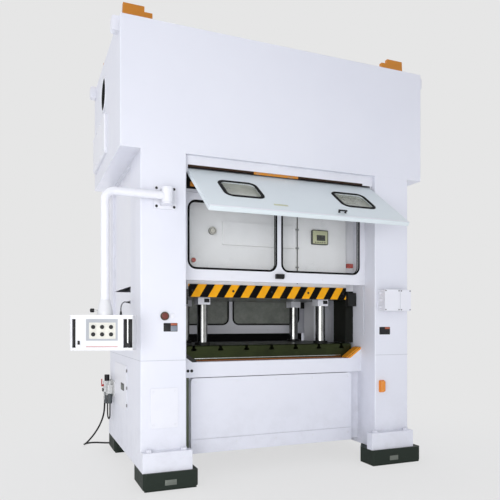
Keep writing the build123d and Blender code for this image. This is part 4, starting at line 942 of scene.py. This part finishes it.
# Guard doors: sheet frames that slide up and down in the uprights, with two clear panes each.
# A black rubber gasket holds each pane in its window.
def clear_sheet(label, least, most):
    """Clear plastic sheet: little but its gloss, and a film of wiping marks between two strengths."""
    material, tree = bare_material(label)
    wiped = mottle(tree, object_place(tree), 5.0, 6.0, 0.7)
    rough = spread(tree, wiped, 0.35, 0.70, 0.03, 0.12)
    alpha = spread(tree, wiped, 0.30, 0.75, least, most)
    tone = blend_colours(tree, spread(tree, wiped, 0.3, 0.7), (0.52, 0.54, 0.46, 1), (0.62, 0.64, 0.55, 1))
    principled(tree, {"Base Color": tone, "Roughness": rough, "Alpha": alpha, "IOR": 1.45})
    return material


def smoked_shade_sheet():
    """Grey tinted sheet for the rear door, nearly closed to the view, with a film of oil in patches.
    Its dark tint is painted shade of the dark space behind the press.
    """
    material, tree = bare_material("smoked_shade_pane")
    film = mottle(tree, object_place(tree), 3.0, 6.0, 0.7)
    rough = spread(tree, film, 0.35, 0.70, 0.08, 0.25)
    alpha = spread(tree, film, 0.35, 0.65, 0.80, 0.90)
    patches = spread(tree, film, 0.35, 0.65)
    tone = blend_colours(tree, patches, (0.130, 0.148, 0.125, 1), (0.290, 0.310, 0.275, 1))
    principled(tree, {"Base Color": tone, "Roughness": rough, "Alpha": alpha, "Specular IOR Level": 0.3})
    return material


dress(guard_paint, "front_door", "rear_door")
dress(black_plastic, "door_latch")
dress(clear_sheet("clear_pane", 0.03, 0.07), "front_door_panes")
# The rear panes' dark tint is painted shade.
dress(smoked_shade_sheet(), "rear_door_panes")
gasket_rubber = moulded(
    "gasket_rubber", colour=(0.005, 0.005, 0.005), dust=(0.03, 0.03, 0.03), grain=340.0, roughness=0.6,
    dust_amount=0.2, bump=(0.15, 0.0006), Specular_IOR_Level=0.08,
)


def gasket(place, width, height, radius, lip):
    """A rubber section round a window: rounded lips in front of the sheet and over the pane's edge."""
    shares = ((-1, 0.0), (-1, 0.003), (-0.6, 0.006), (0.2, 0.0075), (0.8, 0.005), (1, 0.0))
    profile = [(share * lip, level) for share, level in shares]
    return loop_solid(place, width, height, radius, profile, True)


door_half = 0.013
window_x, window_low = 0.4575, 0.107
window_size = (0.855, 0.599)
for body, y, low in (("front_door", -0.657, 1.755), ("rear_door", 0.657, 1.250)):
    rubbers = []
    for side in (-1, 1):
        for end in (-1, 1):
            centre = (side * window_x, y + end * door_half, low + window_low + window_size[1] / 2)
            rubbers.append(gasket(face_at(centre, end), *window_size, 0.070, 0.009))
    piece(f"{body}_gaskets", *joined(*rubbers), gasket_rubber, body, "black_plastic")
    face = y - door_half
    screws = [(x, face, low + z) for x in (-0.925, -0.47, 0.0, 0.47, 0.925) for z in (0.040, 0.735)]
    fasteners(f"{body}_screws", screws, (0, -1, 0), 0.006, 0.0045, guard_paint, body)


# Rear flap: a black rubber strip clamped under the rear door's lower rail. It closes the gap above the
# bolster and rises with the door. Its black is painted shade of the dark gap behind.
flap = plate(face_at((0, 0.660, 1.1960)), 1.860, 0.112, 0.004, 0.005, 0.001)
piece("rear_shade_flap", *flap, gasket_rubber, "rear_door", "black_plastic")


# Visor: a folded sheet flap hinged under the front header, with two windows in thick black gaskets.
# Behind it hang a rubber curtain and a guard switch, and strips run along the header's lower edge; the dark
# brown one and the black seal are painted shade of the gap there.
# The visor's paint is a darker, bluer copy of the white paint: painted shade, tinted as by the sky, on a
# face that looks up and forward.
visor_shaded_paint = painted(
    "visor_shaded_paint", colour=(0.735, 0.80, 0.83), shade=(0.70, 0.77, 0.80), grime_shade=(0.36, 0.38, 0.38),
    bare=(0.80, 0.82, 0.84), roughness=0.34, grime_shade_amount=0.3, wear=0.5, bump=(0.05, 0.0008),
    Coat_Weight=0.2, Coat_Roughness=0.2,
)
dress(visor_shaded_paint, "visor")
# The visor panes are half opaque and grey-olive: a film of wiping marks, and a painted reflection.
dress(clear_sheet("filmed_reflection_pane", 0.42, 0.55), "visor_panes")
visor_half = 0.019
visor_tilt = math.radians(-54.3)
hinge = Matrix.Translation((0, -0.780, 2.690)) @ Matrix.Rotation(visor_tilt, 4, "X")
rubbers = []
for side in (-1, 1):
    for end in (-1, 1):
        place = hinge @ face_at((side * 0.550, end * visor_half, -0.365), end)
        rubbers.append(gasket(place, 0.330, 0.300, 0.060, 0.016))
piece("visor_gaskets", *joined(*rubbers), gasket_rubber, "visor", "black_plastic")
hinge_screws = [hinge @ Vector((x, -visor_half, -0.050)) for x in (-0.88, -0.45, 0.0, 0.45, 0.88)]
out = hinge.to_3x3() @ Vector((0, -1, 0))
fasteners("visor_screws", hinge_screws, out, 0.006, 0.004, visor_shaded_paint, "visor")
lip = plate(hinge @ face_at((0, -visor_half, -0.741)), 1.852, 0.017, 0.002, 0.002, 0.0008)
piece("visor_lip", *lip, guard_paint, "visor", "guard_paint")
tag = plate(hinge @ face_at((-0.281, -visor_half, -0.625)), 0.128, 0.026, 0.003, 0.0015, 0.0005)
piece("visor_tag", *tag, olive_plastic, "visor", "grey_plastic")
grip_height = -0.668
grip_foot = ((0.011, 0), (0.011, 0.004), (0.007, 0.007), (0.007, 0.020), (0.0002, 0.021))
grips = [turned(hinge @ face_at((x, -visor_half, grip_height)), grip_foot, 16) for x in (0.250, 0.310)]
grips.append(plate(hinge @ face_at((0.280, -0.034, grip_height)), 0.086, 0.016, 0.006, 0.010, 0.003))
piece("visor_grip", *joined(*grips), black_plastic, "visor", "black_plastic")
gap_shade_brown = moulded(
    "gap_shade_brown", colour=(0.030, 0.012, 0.005), dust=(0.08, 0.05, 0.03), grain=300.0, roughness=0.5,
    dust_amount=0.3, bump=(0.06, 0.0005), Specular_IOR_Level=0.2,
)
brown = (gap_shade_brown, "orange_paint")
orange = (orange_paint, "orange_paint")
rubber = (gasket_rubber, "black_plastic")
# The dark brown strip and the black seal are painted shade in the gap under the header.
for label, centre, form, (finish, slot) in (
    ("header_shade_strip", (-0.045, -0.800, 2.7285), (1.766, 0.018, 0.001, 0.0025, 0.001), brown),
    ("header_tape", (-0.091, -0.8025, 2.7240), (0.446, 0.024, 0.001, 0.0010, 0.0004), orange),
    ("head_curtain", (0, -0.741, 2.6325), (1.850, 0.176, 0.003, 0.004, 0.001), rubber),
    ("guard_switch", (-0.862, -0.745, 2.585), (0.062, 0.040, 0.004, 0.010, 0.002), orange),
    ("header_shade_seal", (0, -0.796, 2.7150), (1.850, 0.0095, 0.001, 0.0035, 0.001), rubber),
):
    piece(label, *plate(face_at(centre), *form), finish, "frame", slot)


# Front fittings: the junction box and lamp on the right upright, the stop button on the left one.
# All are bought parts in sheet metal or moulded plastic, screwed to the uprights' fronts.
dress(guard_paint, "junction_box")
lid_face = -0.957
lid_screws = [(x, lid_face, z) for x in (1.002, 1.156, 1.184, 1.288) for z in (1.504, 1.688)]
fasteners("junction_lid_screws", lid_screws, (0, -1, 0), 0.005, 0.004, screw_steel, "frame")
gland_form = ((0.014, 0), (0.014, 0.008), (0.011, 0.010), (0.011, 0.018), (0.006, 0.022), (0.0002, 0.022))
glands = []
for x, side in ((0.990, -1), (1.300, 1)):
    for z in (1.532, 1.600, 1.664):
        glands.append(turned(facing((x, -0.896, z), (side, 0, 0), (0, 1, 0)), gland_form, 6))
piece("junction_glands", *joined(*glands), guard_paint, "frame", "guard_paint")
amber_plastic = moulded(
    "amber_plastic", colour=(0.82, 0.27, 0.02), dust=(0.5, 0.3, 0.1), grain=200.0, roughness=0.22,
    dust_amount=0.2, bump=(0.1, 0.0006), Coat_Weight=0.5,
)
dress(amber_plastic, "signal_lamp")
stop_red = moulded(
    "stop_red", colour=(0.15, 0.018, 0.010), dust=(0.20, 0.09, 0.07), grain=300.0, roughness=0.30,
    dust_amount=0.3, bump=(0.06, 0.0005), Coat_Weight=0.2,
)
dress(stop_red, "stop_button")
bezel_plastic = moulded(
    "bezel_plastic", colour=(0.060, 0.034, 0.014), dust=(0.12, 0.09, 0.06), grain=300.0, roughness=0.40,
    dust_amount=0.2, bump=(0.06, 0.0005),
)
dress(bezel_plastic, "stop_bezel")
plug_form = ((0.022, 0), (0.022, 0.0015), (0.019, 0.004), (0.012, 0.005), (0.0002, 0.005))
plug = turned(face_at((-1.071, -leg_front, 1.435)), plug_form, 24)
piece("blanking_plug", *plug, guard_paint, "frame", "guard_paint")


# Arm joint: a steel bracket on the left upright's front that the pendant's arm swings on. Four black bolts
# hold its plate.
dress(guard_paint, "arm_bracket", "pendant_arm")
bracket_face = -0.863
bracket_bolts = [(x, bracket_face, z) for x in (-1.215, -1.065) for z in (2.345, 2.495)]
fasteners("bracket_bolts", bracket_bolts, (0, -1, 0), 0.008, 0.008, black_oxide, "frame")


# Pendant: a sheet metal box on a swinging tube, with a grey face of six push buttons in pale rings.
# A grey lead runs from the press's side to the box's top.
grey_plastic = moulded(
    "grey_plastic", colour=(0.40, 0.42, 0.46), dust=(0.5, 0.5, 0.5), grain=460.0, roughness=0.42,
    dust_amount=0.2, bump=(0.1, 0.0006),
)
dress(grey_plastic, "pendant_face", "lead_gland")
# The pendant's case has a darker copy of the guard paint: painted shade.
case_shaded_paint = guard_paint.copy()
case_shaded_paint.name = "case_shaded_paint"
shaded_case_skin = next(node for node in case_shaded_paint.node_tree.nodes if node.type == "GROUP")
shaded_case_skin.inputs["Colour"].default_value = (0.755, 0.760, 0.785, 1)
shaded_case_skin.inputs["Shade"].default_value = (0.735, 0.740, 0.765, 1)
dress(case_shaded_paint, "pendant_case")
dress(bright_steel, "pendant_hardware")
dress(black_plastic, *[f"pendant_button_{number}" for number in range(1, 7)])
pendant_turn = math.radians(-22.34)
pendant = Matrix.Translation((-1.642, -0.944, 1.161)) @ Matrix.Rotation(pendant_turn, 4, "Z")
plate_front, field_front, case_front, slot_floor = -0.068, -0.069, -0.070, -0.044
ring_white = moulded(
    "ring_white", colour=(0.74, 0.73, 0.67), dust=(0.45, 0.45, 0.42), grain=460.0, roughness=0.3,
    dust_amount=0.2, bump=(0.05, 0.0004),
)
field = plate(pendant @ face_at((-0.004, plate_front, 0.1535)), 0.206, 0.126, 0.004, 0.0010, 0.0004)
piece("pendant_field", *field, ring_white, "pendant", "grey_plastic")
ring_form = ((0.0168, 0), (0.025, 0), (0.025, 0.003), (0.0235, 0.005), (0.0168, 0.005), (0.0168, 0))
rings = []
for column in range(3):
    for row in range(2):
        place = pendant @ face_at((-0.073 + 0.069 * column, field_front, 0.125 + 0.057 * row))
        rings.append(hollow(place, ring_form, 28))
piece("button_rings", *joined(*rings), ring_white, "pendant", "grey_plastic")
liners = []
for start, width in ((-0.238, 0.027), (0.159, 0.070)):
    place = pendant @ face_at((start + width / 2, slot_floor, 0.1325))
    liners.append(plate(place, width - 0.001, 0.222, 0.002, 0.0012, 0.0004))
piece("pendant_slot_liners", *joined(*liners), black_plastic, "pendant", "black_plastic")
latch = plate(pendant @ face_at((-0.186, case_front, 0.060)), 0.017, 0.030, 0.003, 0.006, 0.0015)
foot = plate(pendant @ face_at((0.190, -0.058, 0.040)), 0.046, 0.034, 0.003, 0.012, 0.002)
piece("pendant_latch", *joined(latch, foot), black_plastic, "pendant", "black_plastic")
knob_form = (
    (0.010, -0.003),
    (0.0150, 0.000),
    (0.0160, 0.004),
    (0.0160, 0.022),
    (0.0140, 0.0275),
    (0.0002, 0.0285),
)
knob = turned(pendant @ facing((-0.0885, 0, 0.312), (-1, 0, 0), (0, 1, 0)), knob_form, 12)
piece("clamp_knob", *knob, black_plastic, "pendant", "black_plastic")
line = plate(pendant @ face_at((-0.007, case_front, 0.029)), 0.244, 0.0045, 0.001, 0.0006, 0.0002)
piece("pendant_line", *line, red_plastic, "pendant", "red_plastic")


def soft_line(label, route, radius, material):
    """A cord as one smooth open spline through the air, with the route's points as its control points."""
    line = bpy.data.curves.new(label, "CURVE")
    line.dimensions = "3D"
    line.bevel_depth = radius
    line.bevel_resolution = 4
    line.resolution_u = 10
    line.use_fill_caps = True
    spline = line.splines.new("NURBS")
    spline.points.add(len(route) - 1)
    for point, spot in zip(spline.points, route):
        point.co = (*spot, 1)
    spline.order_u = 3
    spline.use_endpoint_u = True
    line.materials.append(material)
    thing = bpy.data.objects.new(label, line)
    scene.collection.objects.link(thing)
    return thing


lead_rubber = moulded(
    "lead_rubber", colour=(0.16, 0.165, 0.17), dust=(0.3, 0.3, 0.3), grain=380.0, roughness=0.5,
    dust_amount=0.2, bump=(0.1, 0.0005),
)
lead_route = [
    (-1.3433, -0.345, 1.562),
    (-1.372, -0.345, 1.562),
    (-1.394, -0.395, 1.562),
    (-1.416, -0.500, 1.558),
    (-1.444, -0.625, 1.550),
    (-1.476, -0.755, 1.538),
    (-1.504, -0.875, 1.518),
    (-1.522, -0.955, 1.490),
    (-1.525, -0.978, 1.466),
    (-1.525, -0.978, 1.4363),
]
lead_line = soft_line("lead_line", lead_route, 0, lead_rubber)
lead_spots = [spot.co.copy() for spot in bpy.data.meshes.new_from_object(lead_line).vertices]
bpy.data.objects.remove(lead_line)
lead_radius, lead_cut_y, inset_share = 0.0055, -0.84, 0.08
lead_cut = next(index for index, spot in enumerate(lead_spots) if spot.y < lead_cut_y)
for label, spots, start_body, end_body in (
    ("lead_upper", lead_spots[: lead_cut + 1], "frame", "arm"),
    ("lead_tail", lead_spots[lead_cut:], "arm", "pendant"),
):
    stretch = piece(label, *pipe_along(spots, lead_radius, 12), lead_rubber, None, "lead_rubber")
    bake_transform(stretch)
    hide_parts("pendant_lead")
boot_form = (
    (0.0110, 0),
    (0.0110, 0.004),
    (0.0092, 0.006),
    (0.0086, 0.016),
    (0.0070, 0.027),
    (0.0058, 0.030),
    (0.0002, 0.030),
)
for label, spot, out, across, body in (
    ("lead_boot_side", lead_route[0], (-1, 0, 0), (0, 1, 0), "frame"),
    ("lead_boot_case", lead_route[-1], (0, 0, 1), (1, 0, 0), "pendant"),
):
    boot = turned(facing(spot, out, across), boot_form, 16)
    piece(label, *boot, black_plastic, body, "black_plastic")


# Air unit: filter regulator and oiler on a plate, with a black setting knob, a red shut-off lever and
# dark bowls. The supply hose hangs from its elbow to the floor and ends in a coupling behind the press.
grey_metal = machined(
    "grey_metal", colour=(0.76, 0.77, 0.77), oil=(0.28, 0.27, 0.25), lay=(90.0, 90.0, 90.0), roughness=0.42,
    oil_amount=0.3, bump=(0.15, 0.0006), Metallic=0.35,
)
dress(grey_metal, "air_regulator", "air_oiler")
smoke_plastic = moulded(
    "smoke_plastic", colour=(0.05, 0.06, 0.065), dust=(0.3, 0.3, 0.3), grain=150.0, roughness=0.16,
    dust_amount=0.2, bump=(0.04, 0.0005), Coat_Weight=0.4,
)
dress(smoke_plastic, "air_bowls")
dress(black_plastic, "regulator_knob")
dress(red_plastic, "valve_lever")
dress(bright_steel, "hose_coupling")
hose_rubber = moulded(
    "hose_rubber", colour=(0.010, 0.010, 0.010), dust=(0.06, 0.06, 0.055), grain=300.0, roughness=0.5,
    dust_amount=0.25, bump=(0.1, 0.0005), Specular_IOR_Level=0.2,
)
link_route = [
    (-1.396, 0.678, 0.603),
    (-1.396, 0.678, 0.500),
    (-1.396, 0.678, 0.3819),
    (-1.3915, 0.6215, 0.3493),
    (-1.387, 0.565, 0.3819),
    (-1.387, 0.565, 0.460),
    (-1.387, 0.565, 0.526),
]
link = soft_line("link_hose_line", link_route, 0.007, hose_rubber)
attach(link, "frame")
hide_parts("link_hose")
hose_route = [
    (-1.410, 0.790, 0.575),
    (-1.410, 0.790, 0.480),
    (-1.420, 0.798, 0.370),
    (-1.455, 0.825, 0.262),
    (-1.505, 0.868, 0.165),
    (-1.556, 0.922, 0.086),
    (-1.592, 0.988, 0.032),
    (-1.604, 1.068, 0.0095),
    (-1.556, 1.132, 0.0095),
    (-1.473, 1.136, 0.0095),
    (-1.402, 1.088, 0.0095),
    (-1.326, 1.046, 0.0095),
    (-1.245, 1.030, 0.0095),
]
ferrule_form = (
    (0.0100, 0),
    (0.0125, 0.003),
    (0.0125, 0.012),
    (0.0115, 0.016),
    (0.0130, 0.020),
    (0.0130, 0.038),
    (0.0002, 0.039),
)
ferrule = turned(Matrix.Translation((-1.410, 0.790, 0.540)), ferrule_form, 18)
piece("hose_ferrule", *ferrule, bright_steel, "frame", "bright_steel")
gauge_form = (
    (0.009, 0),
    (0.009, 0.004),
    (0.019, 0.005),
    (0.019, 0.014),
    (0.017, 0.016),
    (0.0165, 0.0145),
    (0.0002, 0.0145),
)
air_gauge = facing((-1.429, 0.735, 0.655), (-1, 0, 0), (0, 1, 0))
piece("air_gauge_case", *turned(air_gauge, gauge_form, 24), black_plastic, "frame", "black_plastic")
face = turned(air_gauge, ((0.0158, 0.0145), (0.0158, 0.0149), (0.0002, 0.0150)), 24)
piece("air_gauge_face", *face, pale_plate, "frame", "grey_plastic")
hose = soft_line("supply_hose", hose_route, 0.009, hose_rubber)
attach(hose, "frame")
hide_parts("air_hose")
